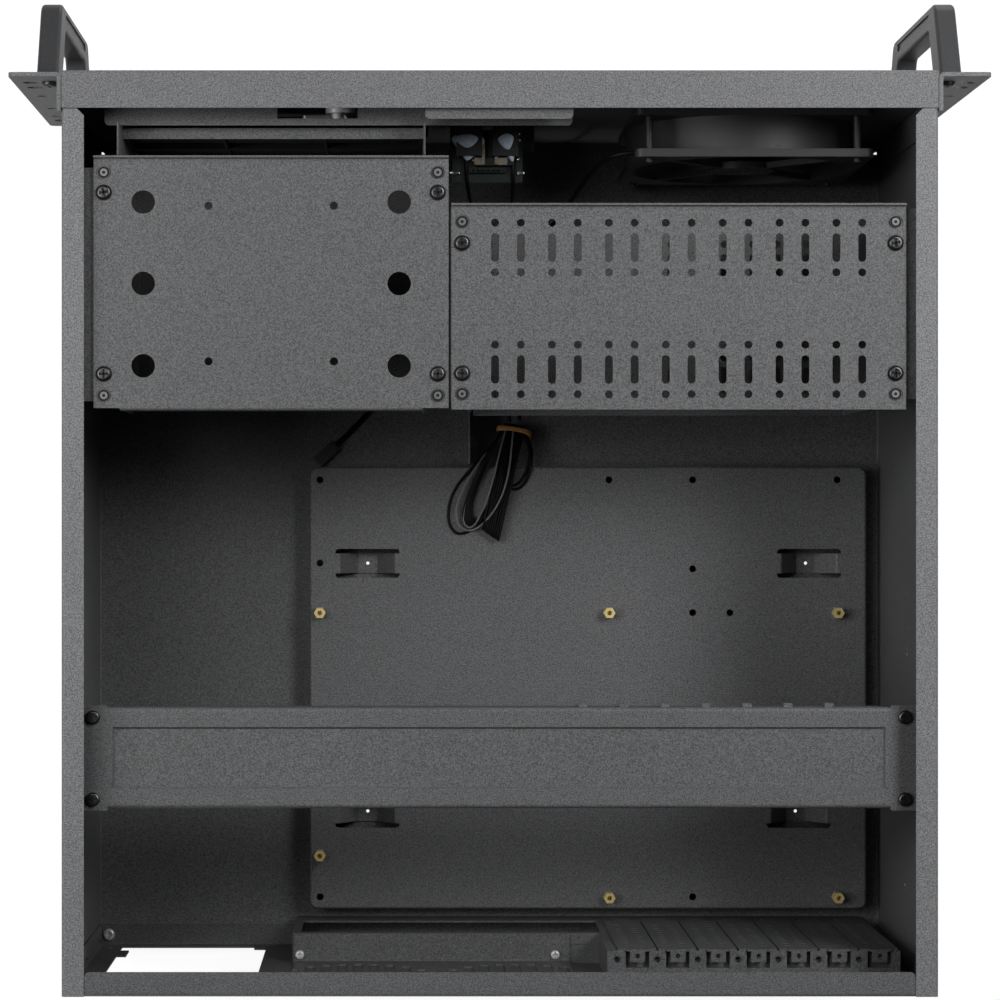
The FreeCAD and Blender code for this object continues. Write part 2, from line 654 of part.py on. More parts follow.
def lock_housing():
    flange = along_y(LOCK_X, LOCK_Z, FRONT - 2, FRONT, LOCK_R + 2.3)
    rim = [e for e in flange.Edges if abs(e.BoundBox.YMax - FRONT + 2) < 1e-6]
    flange = flange.makeFillet(0.8, rim)
    body = along_y(LOCK_X, LOCK_Z, FRONT - 0.5, behind(CAM_BACK - 3), LOCK_R)
    bore = along_y(LOCK_X, LOCK_Z, FRONT - 3, behind(CAM_BACK), PLUG_R + CLEAR)
    return cut(join([flange, body]), [bore])


def lock_nut():
    across = LOCK_R + 1.9
    points = []
    for i in range(6):
        turn = math.radians(60 * i)
        points.append(V(LOCK_X + across / math.cos(math.pi / 6) * math.cos(turn), behind(FASCIA),
                        LOCK_Z + across / math.cos(math.pi / 6) * math.sin(turn)))
    nut = prism(points, V(0, 3.0, 0))
    return cut(nut, [along_y(LOCK_X, LOCK_Z, FRONT, behind(8), LOCK_R + FIT)])


def lock_plug():
    """The lock's turning plug with its cam, which lies sideways when unlocked."""
    plug = along_y(LOCK_X, LOCK_Z, FRONT - 1.6, behind(CAM_BACK) - 1, PLUG_R)
    disc = along_y(LOCK_X, LOCK_Z, behind(CAM_BACK - 2.7), behind(CAM_BACK), 7.5)
    cam = soft_block(LOCK_X, LOCK_X + CAM_LONG, behind(CAM_BACK - 2), behind(CAM_BACK),
                     LOCK_Z - 4, LOCK_Z + 4, 2.5, V(0, 1, 0))
    key = block(LOCK_X - 3, LOCK_X + 3, FRONT - 3, FRONT + 6, LOCK_Z - 0.6, LOCK_Z + 0.6)
    return cut(join([plug, disc, cam]), [key])


# Fan

def fan_frame():
    front = behind(WALL_AT + SHEET)
    back = front + FAN_DEPTH
    half = FAN_SIZE / 2
    flanges = []
    for y in (front, back - FAN_FLANGE):
        flanges.append(soft_block(FAN_X - half, FAN_X + half, y, y + FAN_FLANGE,
                                  FAN_Z - half, FAN_Z + half, 4.0, V(0, 1, 0)))
    duct = along_y(FAN_X, FAN_Z, front, back, half - 0.2)
    bore = along_y(FAN_X, FAN_Z, front - 1, back + 1, FAN_BORE_R)
    tools = [bore]
    for dx in (-1, 1):
        for dz in (-1, 1):
            tools.append(along_y(FAN_X + dx * FAN_HOLES / 2, FAN_Z + dz * FAN_HOLES / 2,
                                 front - 1, back + 1, 2.15))
    ring = cut(join(flanges + [duct]), tools)
    seat = along_y(FAN_X, FAN_Z, back - 3.0, back, FAN_HUB_R - 2.0)
    struts = []
    for i in range(4):
        strut = block(FAN_HUB_R - 4, FAN_BORE_R + 1, back - 3.0, back, -1.8, 1.8)
        strut.rotate(V(0, 0, 0), V(0, 1, 0), 45 + 90 * i)
        strut.translate(V(FAN_X, 0, FAN_Z))
        struts.append(strut)
    return join([ring, seat] + struts)


def fan_rotor():
    front = behind(WALL_AT + SHEET) + 1.0
    back = front + 18.0
    hub = along_y(FAN_X, FAN_Z, front, back, FAN_HUB_R)
    rim = [e for e in hub.Edges if abs(e.BoundBox.YMax - front) < 1e-6]
    hub = hub.makeFillet(2.0, rim)
    shaft = along_y(FAN_X, FAN_Z, back - 1, back + 2.7, 3.0)
    blades = []
    tip = FAN_BORE_R - 1.6
    for i in range(FAN_BLADES):
        root_low = [V(FAN_HUB_R - 1.5, front + 1, -9), V(FAN_HUB_R - 1.5, front + 3, -9),
                    V(FAN_HUB_R - 1.5, back - 1, 7), V(FAN_HUB_R - 1.5, back - 3, 7)]
        tip_low = [V(tip - 6, front + 3, -24), V(tip - 6, front + 4.6, -24),
                   V(tip - 6, back - 2, 12), V(tip - 6, back - 3.6, 12)]
        near = Part.makePolygon(root_low + root_low[:1])
        far = Part.makePolygon(tip_low + tip_low[:1])
        blade = Part.makeLoft([near, far], True, True)
        blade.rotate(V(0, 0, 0), V(0, 1, 0), 360.0 / FAN_BLADES * i)
        blade.translate(V(FAN_X, 0, FAN_Z))
        blades.append(blade)
    return join([hub, shaft] + blades)


def fan_screws():
    front = behind(WALL_AT)
    flat = screw(0, 0, 0, SHEET + FAN_DEPTH + 2.0, head_r=4.2, head_h=2.0, shank_r=1.85)
    solids = []
    for dx in (-1, 1):
        for dz in (-1, 1):
            place = V(FAN_X + dx * FAN_HOLES / 2, front, FAN_Z + dz * FAN_HOLES / 2)
            solids.append(laid(flat, place, V(1, 0, 0), 90))
    return Part.makeCompound(solids)


# Cages

def cage_channel(left, right, front, back, flange):
    """A cage: floor and two sides with their top edges folded outwards."""
    inside_left = left + SHEET
    inside_right = right - SHEET
    inside_low = CAGE_FLOOR + SHEET
    outline = [
        (left - flange, CAGE_Z), (inside_left, CAGE_Z), (inside_left, inside_low),
        (inside_right, inside_low), (inside_right, CAGE_Z), (right + flange, CAGE_Z),
    ]
    return folded(outline, SHEET, lambda x, z: V(x, front, z), V(0, back - front, 0), side=-1)


def bay_screw_columns():
    return (BAY_LID_RIGHT - 5.0, BAY_LID_LEFT + 5.3)


def disk_screw_columns():
    return (DISK_LID_RIGHT - 5.3, DISK_LID_LEFT + 5.2)


def ring_places():
    places = [(x, behind(b)) for x in bay_screw_columns() for b in (49.5, 159.3)]
    return places + [(x, behind(b)) for x in disk_screw_columns() for b in (73.8, 158.5)]


def pan_places():
    places = [(x, behind(b)) for x in bay_screw_columns() for b in (59.4, 148.7)]
    return places + [(x, behind(b)) for x in disk_screw_columns() for b in (84.3, 148.4)]


def ring_seats():
    return [upright(x, y, LID_Z - 0.35, LID_Z + 1, 3.6) for x, y in ring_places()]


def cage_holes(z0, z1):
    return [upright(x, y, z0, z1, 1.5 + CLEAR) for x, y in ring_places() + pan_places()]


def drive_bay_cage():
    front = behind(BAY_FRONT)
    back = behind(CAGE_BACK) - 1.3
    cage = cage_channel(BAY_LEFT, BAY_RIGHT, front, back, BAY_FLANGE)
    bays_top = CAGE_FLOOR + SHEET + 0.3 + BAY_COUNT * (BAY_HEIGHT + 0.6)
    rail = block(BAY_LEFT, BAY_RIGHT, front, behind(30.0), bays_top + 0.1, bays_top + 0.1 + SHEET)
    tools = cage_holes(CAGE_Z - 2, CAGE_Z + 1)
    tools.append(block(BAY_LEFT - 1, BAY_RIGHT + 1, behind(CAGE_BACK) - 5.5, back + 1,
                       CAGE_FLOOR - 1, CAGE_FLOOR + 30))
    for outside, wall in ((BAY_LEFT - BAY_FLANGE, BAY_LEFT), (BAY_RIGHT + BAY_FLANGE, BAY_RIGHT)):
        x0, x1 = sorted((outside + (outside - wall), wall))
        tools.append(block(x0, x1, front - 1, behind(BAY_LID_FRONT + 1), CAGE_Z - 3, CAGE_Z + 1))
    for level in range(BAY_COUNT):
        z = CAGE_FLOOR + 12 + level * (BAY_HEIGHT + 0.6)
        for b in (48.0, 127.4):
            for lift in (0.0, 11.9):
                tools.append(soft_block(BAY_LEFT - 2, BAY_RIGHT + 2, behind(b) - 5,
                                        behind(b) + 5, z + lift - 1.8, z + lift + 1.8,
                                        1.7, V(1, 0, 0)))
    return cut(join([cage, rail]), tools)


def drive_bay_lid():
    """The lid of the drive bays, with a rim turned up in front and down behind."""
    front = behind(BAY_LID_FRONT)
    back = behind(CAGE_BACK)
    outline = [(front, LID_Z + 2.2), (front, LID_Z - SHEET), (back - 1.2, LID_Z - SHEET)]
    lid = folded(outline, SHEET, lambda y, z: V(BAY_LID_LEFT, y, z),
                 V(BAY_LID_WIDTH, 0, 0), side=1, bend=0.5)
    tail = folded([(back - 6, LID_Z), (back, LID_Z), (back, LID_Z - 8)], SHEET,
                  lambda y, z: V(BAY_LEFT + 1.5, y, z), V(BAY_WIDTH - 3, 0, 0),
                  side=-1, bend=0.5)
    middle = BAY_LID_RIGHT - 87.4
    tools = cage_holes(LID_Z - 2, LID_Z + 1) + ring_seats()
    for x in (middle + 63.0, middle - 63.0):
        for b in (64.1, 104.2, 144.7):
            tools.append(upright(x, behind(b), LID_Z - 2, LID_Z + 1, 5.8))
    for x in (middle + 30.86, middle - 30.86):
        for b in (65.9, 142.5):
            tools.append(upright(x, behind(b), LID_Z - 2, LID_Z + 1, 2.0))
    return cut(join([lid, tail]), tools)


def bay_cover(level):
    """A moulded blank of one drive bay, hollow behind; level 0 is the lowest."""
    left = BAY_LEFT + SHEET + 0.3
    right = BAY_RIGHT - SHEET - 0.3
    low = CAGE_FLOOR + SHEET + 0.3 + level * (BAY_HEIGHT + 0.6)
    front = behind(BAY_FRONT)
    return hollow_blank(left, right, front, low, low + BAY_HEIGHT)


def hollow_blank(left, right, front, low, high):
    blank = soft_block(left, right, front, front + 5.2, low, high, 1.0, V(0, 1, 0))
    hollow = block(left + 1.8, right - 1.8, front + 2.0, front + 6, low + 1.8, high - 1.8)
    ribs = []
    for share in (0.33, 0.67):
        x = left + (right - left) * share
        ribs.append(block(x - 0.7, x + 0.7, front + 1.5, front + 4.6, low + 1, high - 1))
    return join([cut(blank, [hollow])] + ribs)


def small_bay_tray():
    """The hanging tray of the narrow bay, folded outwards against the cage's floor."""
    middle = (BAY_LEFT + BAY_RIGHT) / 2
    left = middle - SMALL_BAY_WIDTH / 2
    right = middle + SMALL_BAY_WIDTH / 2
    low = CAGE_FLOOR - SMALL_BAY_HEIGHT
    flange = 7.0
    inside_left = left + SHEET
    inside_right = right - SHEET
    outline = [
        (left - flange, CAGE_FLOOR), (inside_left, CAGE_FLOOR), (inside_left, low + SHEET),
        (inside_right, low + SHEET), (inside_right, CAGE_FLOOR), (right + flange, CAGE_FLOOR),
    ]
    front = behind(BAY_FRONT)
    tray = folded(outline, SHEET, lambda x, z: V(x, front, z),
                  V(0, CAGE_BACK - BAY_FRONT - 8.0, 0), side=-1)
    tools = []
    for b in (60.0, 101.0, 150.0):
        tools.append(soft_block(left - 2, right + 2, behind(b) - 4, behind(b) + 4,
                                low + 6, low + 10, 1.9, V(1, 0, 0)))
    return cut(tray, tools)


def small_bay_cover():
    middle = (BAY_LEFT + BAY_RIGHT) / 2
    half = SMALL_BAY_WIDTH / 2 - SHEET - 0.3
    low = CAGE_FLOOR - SMALL_BAY_HEIGHT + SHEET + 0.3
    return hollow_blank(middle - half, middle + half, behind(BAY_FRONT), low, CAGE_FLOOR - 0.4)


def disk_columns():
    first = DISK_LID_RIGHT - 21.5
    columns = []
    for i in range(DISK_COUNT):
        columns += [first - i * DISK_PITCH, first - i * DISK_PITCH - DISK_PAIR]
    return columns


def disk_holes(z0, z1):
    """Slots and round holes that take the disks' screws, the same in the lid and the floor."""
    tools = []
    for x in disk_columns():
        for b in DISK_ROWS:
            tools.append(soft_block(x - 1.95, x + 1.95, behind(b) - 7, behind(b) + 7,
                                    z0, z1, 1.9))
            for step in (-12.2, 12.2):
                tools.append(upright(x, behind(b) + step, z0, z1, 1.95))
    return tools


def disk_cage_tray():
    front = behind(DISK_LID_FRONT) + 0.8
    back = behind(CAGE_BACK) - 1.8
    cage = cage_channel(DISK_LEFT, DISK_RIGHT, front, back, 11.8)
    return cut(cage, cage_holes(CAGE_Z - 2, CAGE_Z + 1)
               + disk_holes(CAGE_FLOOR - 1, CAGE_FLOOR + SHEET + 1))


def disk_cage_lid():
    front = behind(DISK_LID_FRONT)
    back = behind(CAGE_BACK) - 0.5
    outline = [(front, LID_Z + 2.2), (front, LID_Z - SHEET), (back, LID_Z - SHEET)]
    lid = folded(outline, SHEET, lambda y, z: V(DISK_LID_LEFT, y, z),
                 V(DISK_LID_WIDTH, 0, 0), side=1, bend=0.5)
    return cut(lid, cage_holes(LID_Z - 2, LID_Z + 1) + ring_seats()
               + disk_holes(LID_Z - 2, LID_Z + 1))


def wall_bracket(side, front, back, inner_edge):
    """An angle on a side wall whose top carries a cage's flange."""
    wall = side * (INNER - FIT)
    outline = [(wall, BRACKET_Z - 34), (wall, BRACKET_Z), (inner_edge, BRACKET_Z)]
    angle = folded(outline, SHEET, lambda x, z: V(x, behind(front), z),
                   V(0, back - front, 0), side=side)
    tools = cage_holes(BRACKET_Z - 3, BRACKET_Z + 1)
    for b in (front + 12, back - 12):
        tools.append(along_x(behind(b), BRACKET_Z - 20, wall - 3, wall + 3, 1.8))
    return cut(angle, tools)


def centre_support():
    """The upright between the cages: a top flange under both lids, a leg and a foot."""
    leg_x = DISK_RIGHT + 0.7
    right = BAY_LEFT - BEND - 0.2
    outline = [(right, BRACKET_Z), (leg_x, BRACKET_Z), (leg_x, SHEET)]
    front = behind(DISK_LID_FRONT) + 3
    sheet = folded(outline, SHEET, lambda x, z: V(x, front, z),
                   V(0, behind(CAGE_BACK) - 5 - front, 0), side=1)
    ahead = block(BAY_LID_LEFT + 1.5, right, behind(BAY_LID_FRONT) + 3, front + 1,
                  BRACKET_Z - SHEET, BRACKET_Z)
    tail = block(leg_x, leg_x + SHEET, behind(CAGE_BACK) - 6, behind(SUPPORT_BACK) + 14.6,
                 SHEET, 26.0)
    foot = block(leg_x - 1.6, leg_x + 3.9, behind(SUPPORT_BACK), behind(SUPPORT_BACK) + 14.6,
                 SHEET, SHEET * 2)
    rivet = upright(leg_x + 2.5, behind(SUPPORT_BACK) + 7.3, SHEET * 1.5, SHEET * 2 + 0.6, 1.2)
    window = block(leg_x - 1, leg_x + SHEET + 1, behind(92.0), behind(146.0), 0, 46.0)
    tools = cage_holes(BRACKET_Z - 2, BRACKET_Z + 1) + [window]
    return cut(join([sheet, ahead, tail, foot, rivet]), tools)


def cage_ring_screws():
    """Countersunk screws through each lid into its cage."""
    solids = []
    for x, y in ring_places():
        low = LID_Z - 0.35
        head = upright(x, y, low, LID_Z + 0.35, 3.0)
        shank = upright(x, y, CAGE_Z - 2.0, low, 1.5)
        groove = upright(x, y, LID_Z, LID_Z + 1, 2.3).cut(upright(x, y, low, LID_Z + 2, 1.5))
        socket = upright(x, y, low + 0.1, LID_Z + 1, 0.6)
        solids.append(cut(join([head, shank]), [groove, socket]))
    return Part.makeCompound(solids)


def cage_pan_screws():
    return Part.makeCompound([screw(x, y, LID_Z, 6.0) for x, y in pan_places()])


# Cross brace

def brace_front():
    return BACK - BRACE_BEHIND - BRACE_DEPTH


def brace_screw_places():
    x = INNER - BRACE_SCREW_INSET + 1.0
    low = brace_front() + 5.0
    high = brace_front() + BRACE_DEPTH - 4.6
    return [(side * x, y) for side in (-1, 1) for y in (low, high)]


def cross_brace():
    front = brace_front()
    back = front + BRACE_DEPTH
    half = INNER - 0.6
    web = INNER - 19.2
    drop = 13.0
    outline = [(front, BRACE_Z - drop), (front, BRACE_Z), (back, BRACE_Z),
               (back, BRACE_Z - drop)]
    channel = folded(outline, SHEET, lambda y, z: V(-web, y, z), V(2 * web, 0, 0),
                     side=-1, bend=1.2)
    tabs = []
    for side in (-1, 1):
        x0, x1 = sorted((side * (web - 1), side * half))
        tabs.append(soft_block(x0, x1, front - 1, back + 1, BRACE_Z - SHEET, BRACE_Z, 0.9))
    inset = (INNER - 22.7, 9.8)
    rings = []
    for shrink, z in ((-0.7, BRACE_Z + 1), (1.0, BRACE_Z - 1.4)):
        x = inset[0] - shrink
        y0 = front + inset[1] + shrink
        y1 = back - inset[1] - shrink
        rings.append(Part.makePolygon([V(-x, y0, z), V(x, y0, z), V(x, y1, z), V(-x, y1, z),
                                       V(-x, y0, z)]))
    pressed = Part.makeLoft(rings, True, True)
    below = soft_block(-inset[0] - 1, inset[0] + 1, front + inset[1] - 1,
                       back - inset[1] + 1, BRACE_Z - 2.4, BRACE_Z - 0.5, 3.0)
    body = cut(join([channel, below] + tabs), [pressed])
    fingers = []
    for i in range(CARD_COUNT):
        x = -41.8 - i * CARD_PITCH
        fingers.append(block(x - 2.2, x + 2.2, front - 1.8, front + 0.5,
                             BRACE_Z - 8.0, BRACE_Z - 2.5))
    tools = [upright(x, y, BRACE_Z - 3, BRACE_Z + 1, 1.5 + CLEAR)
             for x, y in brace_screw_places()]
    return cut(join([body] + fingers), tools)


def brace_brackets():
    flange_z = BRACE_Z - SHEET
    solids = []
    for side in (-1, 1):
        wall = side * (INNER - FIT)
        outline = [(wall, flange_z - 26), (wall, flange_z), (side * (INNER - 19.0), flange_z)]
        angle = folded(outline, SHEET, lambda x, z: V(x, brace_front() + 1, z),
                       V(0, BRACE_DEPTH - 2, 0), side=side)
        tools = [upright(x, y, flange_z - 3, flange_z + 1, 1.5 + CLEAR)
                 for x, y in brace_screw_places()]
        solids.append(cut(angle, tools))
    return Part.makeCompound(solids)


def brace_screws():
    return Part.makeCompound([screw(x, y, BRACE_Z, 5.0) for x, y in brace_screw_places()])


# Motherboard tray

def standoff_places():
    columns = [BOARD_X - c for c in BOARD_COLUMNS]
    middle = BOARD_REAR_ROW - BOARD_ROW
    return [
        (columns[0], middle), (columns[1], middle), (columns[2], middle),
        (columns[0], BOARD_REAR_ROW - 22.86), (columns[1], BOARD_REAR_ROW),
        (columns[2], BOARD_REAR_ROW),
    ]


def spare_places():
    columns = [BOARD_X - c for c in BOARD_COLUMNS]
    middle = BOARD_REAR_ROW - BOARD_ROW
    front = BOARD_REAR_ROW - 227.33
    places = [(x, front) for x in columns] + [(columns[1] - 45.7, front)]
    places += [(columns[0], middle - 27.1), (columns[0], BOARD_REAR_ROW)]
    places += [(columns[1] - 45.7, middle - 23.9), (columns[1] - 45.7, middle)]
    places += [(columns[1] - 66.0, middle), (columns[1] - 45.7, BOARD_REAR_ROW)]
    return places


def motherboard_tray():
    top = TRAY_HEIGHT
    pan = soft_block(TRAY_LEFT, TRAY_RIGHT, TRAY_FRONT, TRAY_BACK, SHEET, top, 4.5)
    rim = [e for e in pan.Edges if abs(e.BoundBox.ZMin - top) < 1e-6]
    pan = pan.makeFillet(1.5, rim)
    hollow = soft_block(TRAY_LEFT + SHEET, TRAY_RIGHT - SHEET, TRAY_FRONT + SHEET,
                        TRAY_BACK - SHEET, 0, top - SHEET, 3.5)
    under = [e for e in hollow.Edges if abs(e.BoundBox.ZMin - top + SHEET) < 1e-6]
    tray = pan.cut(hollow.makeFillet(0.5, under))
    tools = []
    straps = []
    for x, y in well_places():
        tools.append(soft_block(x - 17.5, x + 17.5, y - 7.9, y + 7.9, top - 2, top + 1, 2.0))
        outline = [
            (x - 18.5, top), (x - 15.0, top), (x - 5.2, SHEET * 2), (x + 5.2, SHEET * 2),
            (x + 15.0, top), (x + 18.5, top),
        ]
        strap = folded(outline, SHEET, lambda a, z: V(a, y - 5.4, z), V(0, 10.8, 0),
                       side=-1, bend=0.6)
        straps.append(cut(strap, [upright(x, y, 0, 4, 0.9)]))
    for x, y in spare_places():
        tools.append(upright(x, y, top - 2, top + 1, 1.9))
    for x, y in standoff_places():
        tools.append(upright(x, y, top - 2, top + 1, 1.5 + CLEAR))
    return join([cut(tray, tools)] + straps)


def standoffs():
    """Brass hexagon standoffs, screwed into the tray and tapped from above."""
    solids = []
    corner = 2.75 / math.cos(math.pi / 6)
    for x, y in standoff_places():
        points = [V(x + corner * math.cos(math.radians(60 * i)),
                    y + corner * math.sin(math.radians(60 * i)), TRAY_HEIGHT)
                  for i in range(6)]
        post = prism(points, V(0, 0, STANDOFF_HEIGHT))
        stud = upright(x, y, TRAY_HEIGHT - 4, TRAY_HEIGHT, 1.5)
        bore = upright(x, y, TRAY_HEIGHT + 0.5, TRAY_HEIGHT + STANDOFF_HEIGHT + 1, 1.25)
        solids.append(cut(join([post, stud]), [bore]))
    return Part.makeCompound(solids)


def slot_cover():
    """A pressed blank of one card slot, modelled at X 0."""
    front = RECESS_FACE - SHEET
    back = RECESS_FACE
    blade = soft_block(-COVER_HALF, COVER_HALF, front, back, 28.0, LEDGE_Z - 0.6,
                       0.9, V(0, 1, 0))
    tongue = block(-4.6, 4.6, front, back, 18.0, 29.0)
    neck = block(-5.6, 5.6, front, back, LEDGE_Z - 2, LEDGE_Z + 0.6 + SHEET)
    tab = block(-3.8, 3.8, front, back + 5.4, LEDGE_Z + 0.6, LEDGE_Z + 0.6 + SHEET)
    tools = [upright(0, back + 2.3, LEDGE_Z, LEDGE_Z + 3, 1.2)]
    for row in range(11):
        z = 44.0 + row * 8.0
        for x in (-4.2, 4.2):
            tools.append(block(x - 1.7, x + 1.7, front - 1, front + 0.5, z - 0.6, z + 0.6))
    return cut(join([blade, tongue, neck, tab]), tools)


# Front connector board and switches

def usb_places():
    return (USB_X - 9.0, USB_X + 9.5)


def led_places():
    return (USB_X + 7.0, USB_X - 7.0)


def usb_board():
    """The board with its pin header and the moulded strip beneath the pins."""
    left = USB_X - BOARD_WIDTH / 2
    right = USB_X + BOARD_WIDTH / 2
    sheet = block(left, right, behind(BOARD_FRONT), behind(BOARD_BACK), USB_Z - 1.6, USB_Z)
    lugs = [
        block(left - 1.0, left + 2.8, behind(41.3), behind(43.1), USB_Z - 1.6, USB_Z + 0.8),
        block(right - 3.9, right + 1.8, behind(41.3), behind(43.1), USB_Z - 1.6, USB_Z + 0.8),
    ]
    strip = block(USB_X - 9.5, USB_X + 9.5, behind(39.6), behind(42.2), USB_Z, USB_Z + 2.5)
    pins = []
    for i in range(7):
        x = USB_X - 7.62 + i * 2.54
        pins.append(block(x - 0.32, x + 0.32, behind(40.6), behind(41.2), USB_Z + 2, USB_Z + 8))
    rest = block(USB_X - 13.0, USB_X + 4.0, behind(34.9), behind(38.6), USB_Z, USB_Z + 4.0)
    return join([sheet] + lugs + [strip, rest] + pins)


def usb_ports():
    ports = []
    front = behind(WALL_AT - 0.6)
    for x in usb_places():
        shell = block(x - 6.6, x + 6.6, front, behind(34.0), USB_Z, USB_Z + 7.0)
        hollow = block(x - 6.2, x + 6.2, front - 1, front + 9.5, USB_Z + 0.4, USB_Z + 6.6)
        tongue = block(x - 5.6, x + 5.6, front + 1, front + 10, USB_Z + 3.4, USB_Z + 5.4)
        ports.append(join([cut(shell, [hollow]), tongue]))
    return Part.makeCompound(ports)


def switch_housing(x, bore_r, half):
    """The guide of a push button, fixed to the back of the front wall."""
    front = behind(WALL_AT + SHEET)
    case = soft_block(x - half, x + half, front, front + 13, BUTTON_Z - half, BUTTON_Z + half,
                      1.0, V(0, 1, 0))
    guide = along_y(x, BUTTON_Z, front - 1, front + 10, bore_r + CLEAR + 0.9)
    return cut(case, [guide])


def switch_housings():
    return Part.makeCompound([switch_housing(POWER_X, 6.0, 8.5),
                              switch_housing(RESET_X, 3.0, 5.5)])


def button(x, radius):
    """A push button: its cap, and a collar that holds it behind the wall."""
    cap = along_y(x, BUTTON_Z, behind(WALL_AT - 2.8), behind(WALL_AT + SHEET + 7), radius)
    rim = [e for e in cap.Edges if abs(e.BoundBox.YMax - behind(WALL_AT - 2.8)) < 1e-6]
    cap = cap.makeFillet(0.6, rim)
    collar = along_y(x, BUTTON_Z, behind(WALL_AT + SHEET), behind(WALL_AT + SHEET + 1.2),
                     radius + 0.85)
    return join([cap, collar])


def indicator_leds():
    lenses = []
    for x in led_places():
        dome = along_y(x, BUTTON_Z + 18, behind(WALL_AT - 1.5), behind(WALL_AT + 8), 1.5)
        tip = [e for e in dome.Edges if abs(e.BoundBox.YMax - behind(WALL_AT - 1.5)) < 1e-6]
        dome = dome.makeFillet(1.2, tip)
        base = along_y(x, BUTTON_Z + 18, behind(WALL_AT + SHEET), behind(WALL_AT + SHEET + 1), 2.2)
        lenses.append(join([dome, base]))
    return Part.makeCompound(lenses)


# Leads

FAN_LEAD_R = 1.3
FAN_LEAD = [
    (-69.4, 35.0, 133.0), (-61.0, 35.4, 132.4), (-54.5, 37.6, 124.0), (-50.0, 40.8, 106.0),
    (-47.0, 44.0, 80.0), (-44.0, 47.5, 50.0), (-39.5, 53.5, 24.0), (-32.0, 62.0, 9.0),
    (-20.0, 74.5, 3.2), (-1.0, 91.0, 2.9), (21.0, 114.0, 2.9), (42.0, 138.5, 2.9),
    (62.0, 156.0, 2.9), (74.5, 169.5, 3.2), (84.4, 178.9, 3.6),
]
FAN_PLUG_MIDDLE = (89.3, 183.4)
PANEL_LEAD_R = 1.0
PANEL_LEAD_A = [
    (11.0, 44.0, 105.9), (10.6, 45.5, 95.0), (9.4, 49.0, 78.0), (7.2, 54.0, 58.0),
    (4.2, 62.0, 39.0), (0.6, 75.0, 24.0), (-3.4, 93.0, 14.5), (-7.0, 115.0, 10.4),
    (-9.4, 140.0, 8.8), (-11.0, 166.4, 8.6),
]
PANEL_LEAD_B = [
    (-9.0, 43.0, 105.9), (-9.2, 44.6, 95.0), (-8.8, 48.6, 77.0), (-9.4, 55.6, 56.0),
    (-10.6, 65.6, 37.0), (-12.2, 79.6, 22.6), (-14.4, 97.6, 13.8), (-15.8, 118.6, 10.2),
    (-16.2, 142.6, 8.9), (-16.4, 165.4, 8.7),
]
LOOP_R = 0.8
LOOP_A = [
    (-4.2, 183.0, 18.6), (3.0, 187.4, 18.0), (11.5, 193.6, 17.0), (18.6, 201.5, 16.5),
    (22.4, 211.0, 16.4), (21.4, 221.0, 16.4), (15.0, 227.0, 16.5), (4.6, 222.2, 18.0),
]
LOOP_B = [
    (-5.4, 180.0, 20.6), (-0.5, 186.0, 21.2), (5.4, 194.8, 20.6), (11.4, 205.0, 19.4),
    (14.3, 215.0, 18.6), (11.6, 223.4, 18.8), (3.8, 220.0, 20.0),
]
LOOP_C = [
    (-19.0, 176.0, 12.0), (-24.4, 182.0, 15.8), (-23.0, 191.4, 17.6), (-18.6, 199.6, 18.0),
    (-12.4, 203.6, 18.4),
]
HANK_START = (-14.0, 167.0)
HANK_END = (0.0, 229.0)
HANK_WIDE = 15.0


def tube(route, radius, name):
    """A lead along a route: straight runs with an arc at each inner point."""
    points = [V(x, behind(b), z) for x, b, z in route]
    radii = []
    for before, here, after in zip(points, points[1:], points[2:]):
        half_turn = (math.pi - (before - here).getAngle(after - here)) / 2
        shorter = min((before - here).Length, (after - here).Length)
        radii.append(0.45 * shorter / math.tan(half_turn))
    edges = rounded_edges(points, radii)
    path = Part.Wire(edges)
    section = Part.Wire([Part.makeCircle(radius, points[0], points[1] - points[0])])
    solid = path.makePipeShell([section], True, False)
    share = solid.Volume / (math.pi * radius ** 2 * path.Length)
    print(name, "length", round(path.Length, 1), "volume share", round(share, 4),
          "radii", [round(r, 1) for r in radii])
    return solid


def fan_plug():
    """The plug on the fan's lead, lying on the floor behind the drive bays."""
    body = block(-7.0, 7.0, -3.2, 3.2, 0, 5.2)
    windows = [block(-4.6, -0.8, -1.6, 1.6, 4.2, 6), block(0.8, 4.6, -1.6, 1.6, 4.2, 6)]
    body = cut(body, windows)
    x, b = FAN_PLUG_MIDDLE
    return laid(body, V(x, behind(b), SHEET + 0.05), V(0, 0, 1), 43.6)


def hank_frame(shape):
    """Turns a shape modelled along +X from the origin into the hank's direction."""
    run = V(HANK_END[0] - HANK_START[0], HANK_END[1] - HANK_START[1], 0)
    angle = math.degrees(math.atan2(run.y, run.x))
    return laid(shape, V(HANK_START[0], behind(HANK_START[1]), 0), V(0, 0, 1), angle)


def lead_hank():
    """The folded bundle of the panel leads, from under the disk cage on to the tray."""
    half = HANK_WIDE / 2
    long = math.hypot(HANK_END[0] - HANK_START[0], HANK_END[1] - HANK_START[1])
    outline = [(0, 4.4), (23.5, 16.2), (long, 16.2), (long, 21.4), (24.0, 23.2), (0, 12.4)]
    points = [V(s, -half, z) for s, z in outline]
    return hank_frame(prism(points, V(0, HANK_WIDE, 0)))


